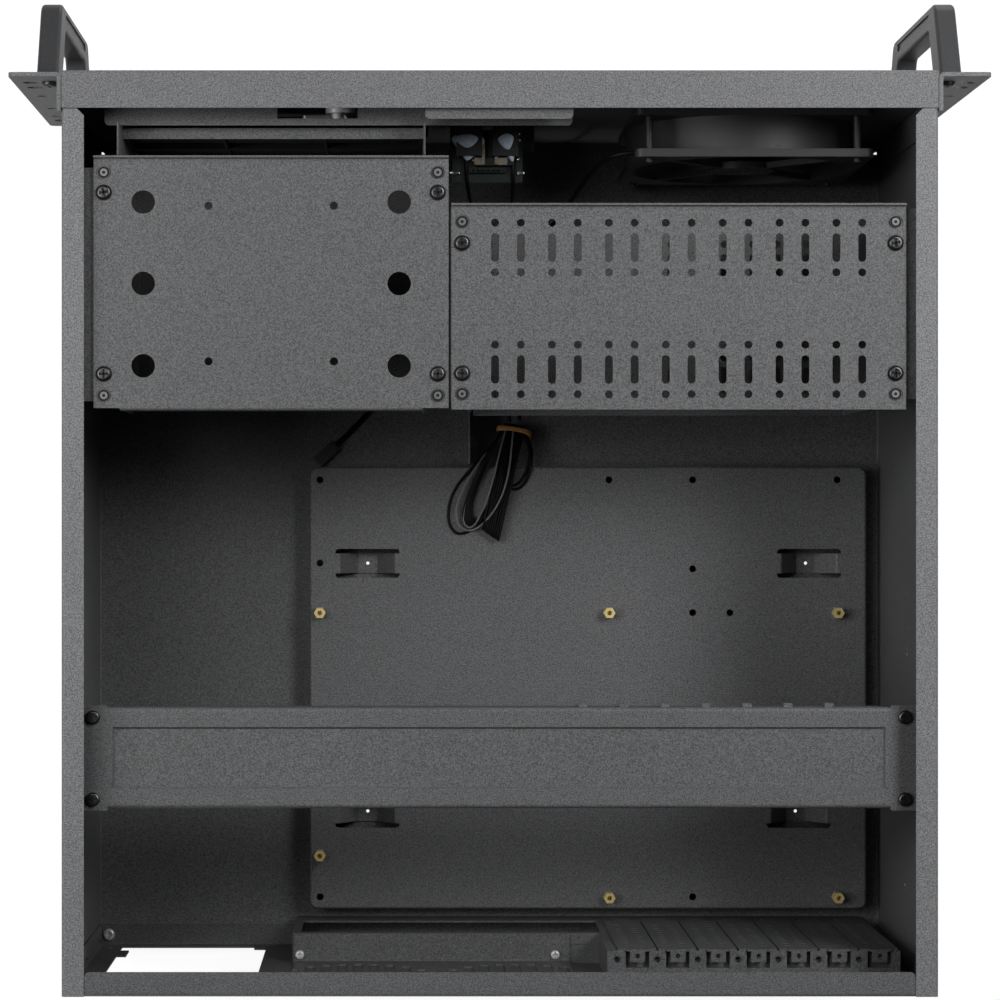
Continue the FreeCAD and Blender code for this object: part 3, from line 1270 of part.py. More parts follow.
def rubber_band():
    """The band round the hank, near its start."""
    half = HANK_WIDE / 2
    slope = 11.8 / 23.5
    outer = [(4.0, 5.2), (7.0, 5.2 + 3 * slope), (7.0, 16.9), (4.0, 15.4)]
    band = prism([V(s, -half - 1.2, z) for s, z in outer], V(0, HANK_WIDE + 2.4, 0))
    inner = [(3.0, 4.4 + 3.0 * slope - 0.2), (8.0, 4.4 + 8.0 * slope - 0.2),
             (8.0, 12.4 + 8.0 * 10.8 / 24.0 + 0.2), (3.0, 12.4 + 3.0 * 10.8 / 24.0 + 0.2)]
    space = prism([V(s, -half - 0.2, z) for s, z in inner], V(0, HANK_WIDE + 0.4, 0))
    return hank_frame(cut(band, [space]))


def every_node():
    nodes = {
        "chassis_tub": chassis_tub(), "front_wall": front_wall(), "rear_wall": rear_wall(),
        "rear_fan_plate": rear_fan_plate(), "rear_plate_screws": rear_plate_screws(),
        "front_panel": front_panel(), "rack_ear_right": rack_ear(),
        "rack_ear_left": mirrored(rack_ear()), "handle_right": handle(),
        "handle_left": mirrored(handle()), "handle_screws": handle_screws(),
        "front_door": front_door(), "door_hinge_pins": door_hinge_pins(),
        "lock_housing": lock_housing(), "lock_nut": lock_nut(), "lock_plug": lock_plug(),
        "fan_frame": fan_frame(), "fan_rotor": fan_rotor(), "fan_screws": fan_screws(),
        "drive_bay_cage": drive_bay_cage(), "drive_bay_lid": drive_bay_lid(),
        "small_bay_tray": small_bay_tray(), "small_bay_cover": small_bay_cover(),
        "disk_cage_tray": disk_cage_tray(), "disk_cage_lid": disk_cage_lid(),
        "wall_bracket_right": wall_bracket(1, 47.0, 162.0, BAY_RIGHT + BEND + 0.2),
        "wall_bracket_left": wall_bracket(-1, 67.0, 161.0, DISK_LEFT - BEND - 0.2),
        "centre_support": centre_support(), "cage_ring_screws": cage_ring_screws(),
        "cage_pan_screws": cage_pan_screws(), "cross_brace": cross_brace(),
        "brace_brackets": brace_brackets(), "brace_screws": brace_screws(),
        "motherboard_tray": motherboard_tray(), "standoffs": standoffs(),
        "usb_board": usb_board(), "usb_ports": usb_ports(),
        "switch_housings": switch_housings(), "power_button": button(POWER_X, 6.0),
        "reset_button": button(RESET_X, 3.0), "indicator_leds": indicator_leds(),
        "fan_lead": tube(FAN_LEAD, FAN_LEAD_R, "fan_lead"), "fan_plug": fan_plug(),
        "panel_lead_a": tube(PANEL_LEAD_A, PANEL_LEAD_R, "panel_lead_a"),
        "panel_lead_b": tube(PANEL_LEAD_B, PANEL_LEAD_R, "panel_lead_b"),
        "lead_loop_a": tube(LOOP_A, LOOP_R, "lead_loop_a"),
        "lead_loop_b": tube(LOOP_B, LOOP_R, "lead_loop_b"),
        "lead_loop_c": tube(LOOP_C, LOOP_R, "lead_loop_c"),
        "lead_hank": lead_hank(), "rubber_band": rubber_band(),
    }
    for level in range(BAY_COUNT):
        nodes[f"bay_cover_{BAY_COUNT - level}"] = bay_cover(level)
    cover = slot_cover()
    for i in range(CARD_COUNT):
        nodes[f"slot_cover_{i + 1}"] = laid(
            cover, V(CARD_FIRST - i * CARD_PITCH, 0, 0), V(0, 0, 1), 0
        )
    return nodes


def main():
    os.makedirs("parts", exist_ok=True)
    for name, shape in every_node().items():
        closed = all(s.isClosed() for s in shape.Shells)
        if not shape.isValid() or not closed or not shape.Solids:
            print("PROBLEM", name, shape.isValid(), closed, len(shape.Solids))
        shape.exportStep(f"parts/{name}.step")
        print(name, len(shape.Solids), round(shape.Volume / 1000, 2))


main()
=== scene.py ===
import json
import math
import random

import bmesh
import bpy
from mathutils import Matrix, Vector


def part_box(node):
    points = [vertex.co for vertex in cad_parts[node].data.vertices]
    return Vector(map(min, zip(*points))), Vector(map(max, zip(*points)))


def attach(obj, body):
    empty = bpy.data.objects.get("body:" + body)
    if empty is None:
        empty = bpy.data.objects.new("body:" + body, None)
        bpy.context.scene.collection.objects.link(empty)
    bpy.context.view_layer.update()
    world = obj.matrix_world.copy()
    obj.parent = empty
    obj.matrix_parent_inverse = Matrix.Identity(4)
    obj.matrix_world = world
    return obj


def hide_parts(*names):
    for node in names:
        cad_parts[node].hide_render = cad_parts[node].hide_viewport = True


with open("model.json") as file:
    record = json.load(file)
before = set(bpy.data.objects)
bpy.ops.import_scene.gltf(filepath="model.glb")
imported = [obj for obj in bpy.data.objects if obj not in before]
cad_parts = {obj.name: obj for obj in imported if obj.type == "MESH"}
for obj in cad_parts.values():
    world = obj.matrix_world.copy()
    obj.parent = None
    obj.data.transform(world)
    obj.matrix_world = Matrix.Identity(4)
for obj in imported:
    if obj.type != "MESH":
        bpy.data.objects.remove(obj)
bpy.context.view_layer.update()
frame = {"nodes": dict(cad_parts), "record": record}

MM = 0.001
FRONT_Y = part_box("front_panel")[0][1]
CASE_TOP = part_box("chassis_tub")[1][2]
BOARD_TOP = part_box("usb_ports")[0][2]


def at(x, behind, z):
    """A place in the row frame from millimetres: across, behind the front face, up."""
    return Vector((x * MM, FRONT_Y + behind * MM, z * MM))


# Materials

class Paint:
    """A material's node tree with its shader, and short ways to add to it."""

    def __init__(self, name):
        self.material = bpy.data.materials.new(name)
        self.material.use_nodes = True
        self.nodes = self.material.node_tree.nodes
        self.links = self.material.node_tree.links
        self.shader = self.nodes["Principled BSDF"]
        self.place = self.nodes.new("ShaderNodeTexCoord").outputs["Object"]

    def noise(self, scale, detail=2.0, roughness=0.5, distort=0.0):
        node = self.nodes.new("ShaderNodeTexNoise")
        node.inputs["Scale"].default_value = scale
        node.inputs["Detail"].default_value = detail
        node.inputs["Roughness"].default_value = roughness
        node.inputs["Distortion"].default_value = distort
        self.links.new(self.place, node.inputs["Vector"])
        return node.outputs["Fac"]

    def ramp(self, source, stops):
        """Colours along a value: stops are (value, colour)."""
        node = self.nodes.new("ShaderNodeValToRGB")
        node.color_ramp.elements[0].position = stops[0][0]
        node.color_ramp.elements[0].color = (*stops[0][1], 1)
        node.color_ramp.elements[1].position = stops[-1][0]
        node.color_ramp.elements[1].color = (*stops[-1][1], 1)
        for value, colour in stops[1:-1]:
            node.color_ramp.elements.new(value).color = (*colour, 1)
        self.links.new(source, node.inputs["Fac"])
        return node.outputs["Color"]

    def spread(self, source, low, high, from_low=0.0, from_high=1.0):
        node = self.nodes.new("ShaderNodeMapRange")
        node.inputs["From Min"].default_value = from_low
        node.inputs["From Max"].default_value = from_high
        node.inputs["To Min"].default_value = low
        node.inputs["To Max"].default_value = high
        self.links.new(source, node.inputs["Value"])
        return node.outputs["Result"]

    def height(self):
        """Height above the floor, in metres."""
        parts = self.nodes.new("ShaderNodeSeparateXYZ")
        self.links.new(self.nodes.new("ShaderNodeNewGeometry").outputs["Position"],
                       parts.inputs[0])
        return parts.outputs["Z"]

    def times(self, first, second):
        """One colour multiplied by another."""
        node = self.nodes.new("ShaderNodeMix")
        node.data_type = "RGBA"
        node.blend_type = "MULTIPLY"
        node.inputs["Factor"].default_value = 1.0
        self.links.new(first, node.inputs[6])
        self.links.new(second, node.inputs[7])
        return node.outputs[2]

    def bump(self, height, distance, strength=1.0):
        node = self.nodes.new("ShaderNodeBump")
        node.inputs["Distance"].default_value = distance
        node.inputs["Strength"].default_value = strength
        self.links.new(height, node.inputs["Height"])
        self.links.new(node.outputs["Normal"], self.shader.inputs["Normal"])

    def set(self, **values):
        for key, value in values.items():
            socket = self.shader.inputs[key.replace("_", " ")]
            if isinstance(value, bpy.types.NodeSocket):
                self.links.new(value, socket)
            else:
                socket.default_value = value
        return self.material


def grey(value, tint=(1.0, 1.0, 1.0)):
    return tuple(value * t for t in tint)


def powder_coat(name, value, tint=(0.985, 1.0, 1.03), contrast=0.66, rough=0.5, lip_highlight=None):
    """Fine sand-textured powder coat over a faint cloud; the last argument, when given, is the
    lighter tone on the top lips, a painted highlight.
    """
    paint = Paint(name)
    grain = paint.noise(1600.0, 3.0, 0.65)
    colour = paint.ramp(grain, [
        (0.34, grey(value * (1 - contrast), tint)),
        (0.50, grey(value, tint)),
        (0.66, grey(value * (1 + contrast), tint)),
    ])
    cloud = paint.ramp(paint.noise(9.0, 3.0), [(0.3, grey(0.93)), (0.7, grey(1.0))])
    paint.bump(grain, 0.00016, 0.55)
    roughness = paint.spread(grain, rough - 0.08, rough + 0.12, 0.3, 0.7)
    colour = paint.times(colour, cloud)
    # Painted highlight: in the top millimetre of the case's height the coat turns lighter, standing
    # in for the light on the top lips.
    if lip_highlight:
        lip_highlight_gain = paint.spread(paint.height(), 1.0, lip_highlight / value, CASE_TOP - 0.0012, CASE_TOP - 0.0006)
        colour = paint.times(colour, lip_highlight_gain)
    return paint.set(Base_Color=colour, Roughness=roughness)


def moulded(name, colour, rough=0.45, grain=900.0, depth=0.00004, contrast=0.1):
    """Moulded plastic with a fine spark texture."""
    paint = Paint(name)
    texture = paint.noise(grain, 2.0)
    low = tuple(c * (1 - contrast) for c in colour)
    high = tuple(c * (1 + contrast) for c in colour)
    paint.bump(texture, depth, 0.5)
    return paint.set(Base_Color=paint.ramp(texture, [(0.35, low), (0.65, high)]),
                     Roughness=paint.spread(texture, rough - 0.06, rough + 0.08, 0.3, 0.7))


def plated(name, colour, rough, scratch=0.06, metallic=1.0):
    """Turned or plated metal with faint marks."""
    paint = Paint(name)
    marks = paint.noise(1200.0, 4.0, 0.7, 0.4)
    stain = paint.noise(160.0, 3.0)
    low = tuple(c * 0.82 for c in colour)
    paint.bump(marks, 0.00002, 0.35)
    return paint.set(Base_Color=paint.ramp(stain, [(0.35, low), (0.65, colour)]),
                     Roughness=paint.spread(marks, rough - scratch, rough + scratch, 0.3, 0.7),
                     Metallic=metallic)


def sheath(name, value, rough=0.38, shine=0.5):
    """The soft sheath of a lead."""
    paint = Paint(name)
    texture = paint.noise(700.0, 3.0)
    paint.bump(texture, 0.00002, 0.4)
    colour = paint.ramp(texture, [(0.3, grey(value * 0.8)), (0.7, grey(value * 1.25))])
    return paint.set(Base_Color=colour, Roughness=paint.spread(texture, rough, rough + 0.14),
                     Specular_IOR_Level=shine)


def glue(name):
    """Hot glue: cloudy, bluish white and see-through at its edges."""
    paint = Paint(name)
    cloud = paint.noise(420.0, 3.0)
    colour = paint.ramp(cloud, [(0.3, (0.52, 0.64, 0.80)), (0.7, (0.80, 0.88, 0.97))])
    paint.bump(cloud, 0.0003, 0.4)
    return paint.set(Base_Color=colour, Roughness=0.22, Transmission_Weight=0.12, IOR=1.46)


def circuit(name):
    """A circuit board's solder mask with darker tracks."""
    paint = Paint(name)
    tracks = paint.noise(260.0, 1.0, 0.4, 1.2)
    colour = paint.ramp(tracks, [(0.44, (0.005, 0.011, 0.009)), (0.5, (0.009, 0.022, 0.016)),
                                 (0.56, (0.005, 0.011, 0.009))])
    paint.bump(tracks, 0.00003, 0.4)
    return paint.set(Base_Color=colour, Roughness=0.3)


def elastic(name):
    """A tan rubber band, a little see-through, with fine lines along it."""
    paint = Paint(name)
    lines = paint.noise(500.0, 4.0, 0.7)
    colour = paint.ramp(lines, [(0.3, (0.36, 0.15, 0.045)), (0.7, (0.58, 0.29, 0.11))])
    paint.bump(lines, 0.00005, 0.5)
    return paint.set(Base_Color=colour, Roughness=0.42, Subsurface_Weight=0.1)


MATERIALS = {
    # The case's coat, with a painted highlight on its top lips.
    "case_steel": powder_coat("case_powder", 0.118, lip_highlight=0.20),
    # The rear panel's coat is a darker copy of the case's coat, painted shade, with a painted
    # highlight on its top lips.
    "rear_steel": powder_coat("shaded_rear_powder", 0.088, lip_highlight=0.12),
    "cage_steel": powder_coat("cage_powder", 0.120),
    # The front panel's coat is a lighter copy of the case's coat: painted light.
    "fascia_steel": powder_coat("lit_fascia_powder", 0.168),
    "handle_plastic": moulded("handle_moulding", (0.050, 0.051, 0.053), 0.42),
    "screw_steel": plated("zinc_screw", (0.72, 0.72, 0.73), 0.4, 0.06, 0.5),
    "dark_screw": plated("black_screw", (0.12, 0.12, 0.125), 0.36),
    "lock_chrome": plated("satin_chrome", (0.97, 0.97, 0.97), 0.3, 0.04, 0.45),
    "brass": plated("turned_brass", (0.98, 0.80, 0.36), 0.42, 0.06, 0.4),
    "fan_plastic": moulded("fan_moulding", (0.026, 0.026, 0.028), 0.5),
    "blank_plastic": moulded("blank_moulding", (0.011, 0.011, 0.0115), 0.55),
    "board_green": circuit("solder_mask"),
    # The ports' plated shells are made near black to stand in for the shade they sit in: painted
    # shade.
    "port_metal": plated("shaded_port_plating", (0.05, 0.05, 0.053), 0.5),
    "button_plastic": moulded("button_moulding", (0.03, 0.03, 0.032), 0.25),
    "led_lens": moulded("lens_moulding", (0.65, 0.70, 0.74), 0.15),
    "lead_rubber": sheath("lead_sheath", 0.003, 0.36, 0.13),
    "plug_plastic": moulded("plug_moulding", (0.014, 0.014, 0.015), 0.35),
    "band_rubber": elastic("tan_elastic"),
}
GLUE = glue("hot_glue")
SOLDER = plated("solder_tin", (0.78, 0.79, 0.81), 0.2)
NYLON = moulded("beige_nylon", (0.24, 0.21, 0.16), 0.4)
# A lighter sheath for the stray wires, standing in for the light they catch: painted highlight.
HIGHLIGHT_SHEATH = sheath("painted_highlight_sheath", 0.14, 0.24)
# Black that stands in for shade: painted shade round and in the cage lids' screws.
SHADE_BLACK = moulded("painted_shade_black", (0.006, 0.006, 0.006), 0.8)
# A lighter steel that stands in for the light on the ring screws' rims: painted highlight.
RIM_HIGHLIGHT_STEEL = plated("rim_highlight_steel", (0.24, 0.24, 0.245), 0.42, 0.06, 0.7)
LABEL = moulded("hub_label", (0.028, 0.028, 0.031), 0.28)
LABEL_LINE = moulded("hub_label_line", (0.16, 0.16, 0.17), 0.4)

# Nodes whose look differs from the rest of their slot
OWN_COATS = {
    "motherboard_tray": powder_coat("tray_powder", 0.134),
    "fan_screws": moulded("fan_screw_black", (0.02, 0.02, 0.02), 0.5),
    "lock_plug": plated("lock_plug_metal", (0.42, 0.42, 0.43), 0.35),
}


def finish_cad_nodes():
    """Gives each CAD node its coat: its own where it has one, else its slot's."""
    for part in frame["record"]["subparts"]:
        node = frame["nodes"][part["node"]]
        material = OWN_COATS.get(part["node"], MATERIALS[part["material_slot"]])
        if not node.data.materials:
            node.data.materials.append(material)
        for index in range(len(node.data.materials)):
            node.data.materials[index] = material


# Small pieces

def mesh_piece(name, build, material, body, smooth=True):
    """A piece from a bmesh that build fills, riding on a body."""
    mesh = bpy.data.meshes.new(name)
    shape = bmesh.new()
    build(shape)
    bmesh.ops.recalc_face_normals(shape, faces=shape.faces)
    shape.to_mesh(mesh)
    shape.free()
    mesh.materials.append(material)
    for face in mesh.polygons:
        face.use_smooth = smooth
    piece = bpy.data.objects.new(name, mesh)
    bpy.context.collection.objects.link(piece)
    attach(piece, body)
    return piece


def bevelled_box(shape, low, high, radius, turn=0.0):
    """Adds a box with rounded edges, turned about its own upright axis."""
    made = bmesh.ops.create_cube(shape, size=1.0)["verts"]
    size = [b - a for a, b in zip(low, high)]
    middle = Vector([(a + b) / 2 for a, b in zip(low, high)])
    bmesh.ops.scale(shape, vec=size, verts=made)
    bmesh.ops.rotate(shape, verts=made, matrix=Matrix.Rotation(turn, 3, "Z"))
    bmesh.ops.translate(shape, vec=middle, verts=made)
    edges = {e for v in made for e in v.link_edges}
    bmesh.ops.bevel(shape, geom=list(edges), offset=radius, segments=3, affect="EDGES",
                    profile=0.6)


def spline_curve(name, points, radius):
    curve = bpy.data.curves.new(name, "CURVE")
    curve.dimensions = "3D"
    curve.resolution_u = 10
    curve.bevel_depth = radius
    curve.bevel_resolution = 5
    curve.use_fill_caps = True
    spline = curve.splines.new("NURBS")
    spline.points.add(len(points) - 1)
    for spot, place in zip(spline.points, points):
        spot.co = (*place, 1.0)
    spline.order_u = 3
    spline.use_endpoint_u = True
    piece = bpy.data.objects.new(name, curve)
    bpy.context.collection.objects.link(piece)
    return piece


def line_of(piece):
    """The points down the middle of a cord's curve."""
    bare = bpy.data.objects.new("bare", piece.data.copy())
    bare.data.bevel_depth = 0
    mesh = bpy.data.meshes.new_from_object(bare)
    points = [v.co.copy() for v in mesh.vertices]
    bpy.data.meshes.remove(mesh)
    bpy.data.curves.remove(bare.data)
    return points


def lead(name, route, radius, replaces=(),
         material=None):
    """A cord along a route of (across, behind the front, up) in millimetres."""
    points = [at(*spot) for spot in route]
    piece = spline_curve(name, points, radius * MM)
    piece.data.materials.append(material or MATERIALS["lead_rubber"])
    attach(piece, "case")
    if replaces:
        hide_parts(*replaces)
    line = line_of(piece)
    return piece


# Leads of the case

FAN_LEAD_R = 1.3
FAN_LEAD = [
    (-69.4, 35.0, 133.0), (-61.0, 35.4, 132.4), (-54.5, 37.6, 124.0), (-50.0, 40.8, 106.0),
    (-47.0, 44.0, 80.0), (-44.0, 47.5, 50.0), (-39.5, 53.5, 24.0), (-32.0, 62.0, 9.0),
    (-20.0, 74.5, 3.2), (-1.0, 91.0, 2.9), (21.0, 114.0, 2.9), (42.0, 138.5, 2.9),
    (62.0, 156.0, 2.9), (74.5, 169.5, 3.2), (84.4, 178.9, 3.6),
]
PANEL_LEAD_R = 1.0
PANEL_LEAD_A = [
    (15.4, 34.0, 109.5), (15.0, 44.0, 110.0), (13.6, 52.0, 104.0), (11.8, 57.0, 90.0),
    (9.5, 60.0, 72.0), (6.8, 64.0, 52.0), (3.5, 73.0, 33.0), (-1.0, 88.0, 18.0),
    (-6.0, 110.0, 11.0), (-9.4, 138.0, 8.8), (-11.0, 166.4, 8.6),
]
PANEL_LEAD_B = [
    (-9.0, 34.0, 109.5), (-9.1, 44.0, 110.0), (-9.0, 52.0, 104.0), (-8.8, 57.0, 90.0),
    (-9.2, 60.0, 71.0), (-10.0, 65.0, 50.0), (-11.6, 75.0, 32.0), (-13.6, 91.0, 17.0),
    (-15.4, 114.0, 10.6), (-16.2, 140.0, 8.9), (-16.4, 165.4, 8.7),
]
WIRE_R = 0.62
THIN_R = 0.75
STRAY_R = 0.55
RIBBON_WIRES = 9
RIBBON_PITCH = 1.2
HANK_START = (-14.0, 167.0)
HANK_END = (0.0, 229.0)
HANK_LONG = math.dist(HANK_START, HANK_END)
HANK_ALONG = ((HANK_END[0] - HANK_START[0]) / HANK_LONG, (HANK_END[1] - HANK_START[1]) / HANK_LONG)


def in_hank(along, across, up):
    """A place beside the hank's middle line, in millimetres of the case."""
    x = HANK_START[0] + HANK_ALONG[0] * along + HANK_ALONG[1] * across
    behind = HANK_START[1] + HANK_ALONG[1] * along - HANK_ALONG[0] * across
    return (x, behind, up)


def ribbon_wire(index, draw):
    """One wire of the folded flat bundle: out along its top, over the fold and back below."""
    across = (index - (RIBBON_WIRES - 1) / 2) * RIBBON_PITCH
    near = across * 1.05
    end = HANK_LONG - 1.4 - across * 0.42 + draw.uniform(-0.4, 0.4)
    wave = draw.uniform(-0.35, 0.35)
    lift = draw.uniform(-0.3, 0.4)
    out = [
        (1.0, near, 11.2), (10.0, near + wave, 15.9 + lift), (20.0, across - wave, 20.2 + lift),
        (30.0, across + wave, 22.0 + lift), (42.0, across, 21.8), (52.0, across - wave, 21.6),
        (end - 4.5, across, 21.5),
    ]
    fold = [(end, across, 21.6), (end + 0.9, across, 19.0), (end - 0.2, across, 16.7)]
    home = [
        (end - 5.0, across, 16.8), (50.0, across, 17.0), (38.0, across + wave, 17.2),
        (26.0, across, 17.6), (14.0, near, 13.2), (2.0, near, 7.0),
    ]
    return [in_hank(*spot) for spot in out + fold + home]


LOOPS = {
    "lead_loop_thin": (THIN_R, ["lead_loop_a"], [
        (-8.2, 169.5, 12.6), (-3.4, 176.0, 15.6), (1.8, 182.6, 17.6), (9.2, 191.0, 17.3),
        (16.4, 198.8, 16.5), (21.0, 207.0, 16.4), (22.8, 215.4, 16.4), (22.2, 222.6, 16.4),
        (18.6, 227.4, 16.4), (13.6, 227.3, 16.5), (8.4, 224.4, 17.0), (2.6, 217.4, 19.0),
        (-3.2, 206.0, 21.0), (-8.6, 192.0, 20.6), (-12.4, 178.0, 14.6), (-13.6, 169.0, 9.6),
    ]),
    "lead_loop_right": (THIN_R, ["lead_loop_c"], [
        (-17.8, 169.8, 9.6), (-21.4, 177.0, 13.2), (-21.6, 186.4, 16.6), (-19.4, 194.8, 17.2),
        (-15.6, 200.6, 17.2), (-11.0, 201.4, 17.6), (-9.0, 195.0, 17.6), (-11.4, 183.6, 16.6),
        (-14.6, 172.0, 9.6),
    ]),
    "lead_loop_right_low": (THIN_R, [], [
        (-18.8, 170.4, 8.0), (-22.8, 178.4, 11.6), (-23.2, 187.8, 16.4), (-20.8, 197.4, 16.4),
        (-16.4, 203.0, 16.4), (-11.2, 203.4, 16.4), (-8.4, 196.4, 16.4), (-10.8, 184.8, 15.4),
        (-14.2, 172.6, 8.4),
    ]),
    "lead_stray_bright": (STRAY_R, [], [
        (-9.0, 169.6, 13.8), (-6.4, 178.4, 18.6), (-3.8, 188.6, 23.0), (-1.2, 199.6, 23.6),
        (1.8, 209.4, 22.6), (5.4, 217.6, 19.6), (8.2, 222.6, 17.9), (11.6, 224.8, 17.6),
        (14.8, 221.0, 17.6), (13.8, 212.6, 17.7), (9.4, 201.4, 18.0), (3.8, 189.6, 18.6),
        (-3.0, 176.6, 14.8), (-8.0, 169.0, 9.0),
    ]),
    "lead_stray_second": (STRAY_R, [], [
        (-13.0, 169.6, 13.9), (-11.8, 179.4, 19.2), (-10.6, 190.6, 23.4), (-8.4, 201.6, 23.8),
        (-4.4, 211.4, 23.3), (1.0, 219.2, 22.4), (6.8, 224.6, 18.4), (12.4, 226.2, 17.9),
        (17.8, 222.4, 17.9), (18.8, 213.6, 17.9), (14.6, 202.6, 18.2), (7.6, 191.0, 18.8),
        (-0.6, 179.6, 17.0), (-7.2, 169.2, 10.4),
    ]),
}

LEFT_BAND_STEPS = (-2, -1, 0, 1, 2)
LEFT_BAND_SPREAD = (1.15, 0.55, 0.3)
LEFT_BAND = [
    (-6.8, 170.4, 12.4), (-2.6, 177.8, 16.6), (2.2, 187.0, 19.4), (6.8, 197.6, 18.6),
    (10.8, 207.8, 18.2), (12.6, 215.6, 18.0), (11.2, 221.2, 18.0), (6.2, 221.6, 18.1),
    (0.9, 215.0, 18.2), (-4.0, 202.4, 18.2), (-8.8, 188.0, 18.0), (-12.8, 174.4, 11.0),
]


def band_wire(step):
    """One wire of the flat band at the hank's left, step from its middle."""
    route = []
    last = len(LEFT_BAND) - 1
    across, along, down = LEFT_BAND_SPREAD
    for i, (x, behind, z) in enumerate(LEFT_BAND):
        spread = math.sin(math.pi * i / last)
        route.append((x - step * across * spread, behind - step * along * spread,
                      z - abs(step) * down * spread))
    return route


def lead_hank():
    """The band, the folded ribbon and the loose loops, each as its own wires."""
    draw = random.Random(7)
    for number, step in enumerate(LEFT_BAND_STEPS):
        replaced = ("lead_loop_b",) if number == 0 else ()
        lead(f"band_wire_{number + 1}", band_wire(step), THIN_R, replaces=replaced)
    for index in range(RIBBON_WIRES):
        replaced = ("lead_hank",) if index == 0 else ()
        lead(f"hank_wire_{index + 1}", ribbon_wire(index, draw), WIRE_R,
             replaces=replaced)
    for name, (radius, replaced, route) in LOOPS.items():
        # The stray wires take the lighter sheath, a painted highlight.
        lead(name, route, radius, replaces=tuple(replaced),
             material=HIGHLIGHT_SHEATH if "stray" in name else None)


# The band round the hank, in millimetres
BAND_PLACE = (5.0, -0.4, 11.8)
BAND_RUN = 23.5
BAND_HALF_ACROSS = 9.4
BAND_HALF_HIGH = 5.2
BAND_HALF_WIDE = 1.45
BAND_THICK = 0.42
BAND_SQUARENESS = 2.6


def rubber_band():
    """A flat band round the hank, wound once and a little slack at the right."""
    middle = at(*in_hank(*BAND_PLACE))
    rise = math.atan2(BAND_PLACE[2], BAND_RUN)
    direction = Vector((HANK_ALONG[0], HANK_ALONG[1], math.tan(rise) * 0.5)).normalized()
    side = direction.cross(Vector((0, 0, 1))).normalized()
    up = side.cross(direction)
    wide, tall = BAND_HALF_ACROSS * MM, BAND_HALF_HIGH * MM
    steps = 72

    def build(shape):
        rings = []
        for i in range(steps):
            turn = 2 * math.pi * i / steps
            c, s = math.cos(turn), math.sin(turn)
            x = math.copysign(abs(c) ** (2 / BAND_SQUARENESS), c) * wide
            z = math.copysign(abs(s) ** (2 / BAND_SQUARENESS), s) * tall
            outward = (side * x / wide ** 2 + up * z / tall ** 2).normalized()
            centre = middle + side * x + up * z
            centre += direction * (0.5 * MM * math.sin(turn * 2 + 0.6))
            half = (BAND_HALF_WIDE + 0.12 * math.sin(turn * 3)) * MM
            thick = BAND_THICK * MM
            section = []
            for k in range(10):
                angle = 2 * math.pi * k / 10
                a = math.copysign(abs(math.cos(angle)) ** 0.6, math.cos(angle)) * half
                b = math.sin(angle) * thick
                section.append(shape.verts.new(centre + direction * a + outward * b))
            rings.append(section)
        for i in range(steps):
            first, second = rings[i], rings[(i + 1) % steps]
            for k in range(10):
                shape.faces.new((first[k], first[(k + 1) % 10],
                                 second[(k + 1) % 10], second[k]))

    band = mesh_piece("band_round_leads", build, MATERIALS["band_rubber"], "case")
    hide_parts("rubber_band")


def glue_drop(name, middle, size, trail, seed):
    """A lump of hot glue that runs down over a lead's end."""
    draw = random.Random(seed)

    def build(shape):
        made = bmesh.ops.create_icosphere(shape, subdivisions=4, radius=1.0)["verts"]
        lumps = [Vector([draw.uniform(-1, 1) for _ in range(3)]).normalized()
                 for _ in range(5)]
        for vert in made:
            direction = vert.co.normalized()
            swell = 1 + sum(0.16 * max(direction.dot(lump), 0) ** 4 for lump in lumps)
            place = Vector((direction.x * size[0], direction.y * size[1],
                            direction.z * size[2])) * swell * MM
            if direction.y > 0:
                pull = direction.y ** 2
                place += Vector(trail) * MM * pull
                place.x = place.x * (1 - 0.45 * pull) + trail[0] * MM * 0.45 * pull
            if place.z < 0:
                place.z *= 0.5
            vert.co = middle + place

    return mesh_piece(name, build, GLUE, "case")


# Small things on the front connector board: across and behind the front, in millimetres
SOLDER_PLACES = (
    (18.6, 34.0), (11.6, 35.6), (-4.8, 35.4), (-11.4, 35.0),
    (-12.0, 22.0), (-12.2, 25.4), (8.8, 30.4), (-1.4, 30.0),
)
SOLDER_R = 0.95
LUGS_ACROSS = ((18.4, 23.5), (-14.7, -11.5))
HEADER_WALLS = (6.4, -0.4)
SHROUDS_ACROSS = ((5.6, 11.0), (-6.0, -0.6))


def board_details():
    """Glue, solder, the header's nylon and plated lugs on the front connector board."""
    top = BOARD_TOP / MM
    glue_drop("glue_left", at(14.4, 25.4, top + 4.6), (7.4, 3.4, 3.4), (0.4, 7.0, -1.0), 3)
    glue_drop("glue_right", at(-5.2, 25.2, top + 4.4), (4.8, 3.4, 3.2), (-3.4, 8.0, -1.0), 5)
    draw = random.Random(11)

    def solder(shape):
        for x, behind in SOLDER_PLACES:
            made = bmesh.ops.create_icosphere(shape, subdivisions=3,
                                              radius=SOLDER_R * MM)["verts"]
            bmesh.ops.scale(shape, vec=(1, 1, 0.8), verts=made)
            bmesh.ops.translate(shape, vec=at(x + draw.uniform(-0.2, 0.2), behind, top + 0.4),
                                verts=made)
        for low, high in LUGS_ACROSS:
            bevelled_box(shape, at(low, 41.5, top + 0.6), at(high, 42.9, top + 1.1), 0.15 * MM)

    def nylon(shape):
        for x in HEADER_WALLS:
            bevelled_box(shape, at(x - 0.9, 27.0, top + 0.1), at(x + 0.9, 38.0, top + 4.6),
                         0.25 * MM)
        for low, high in SHROUDS_ACROSS:
            bevelled_box(shape, at(low, 34.6, top + 0.1), at(high, 38.4, top + 4.2), 0.4 * MM)

    mesh_piece("board_solder", solder, SOLDER, "case")
    mesh_piece("header_nylon", nylon, NYLON, "case", smooth=False)


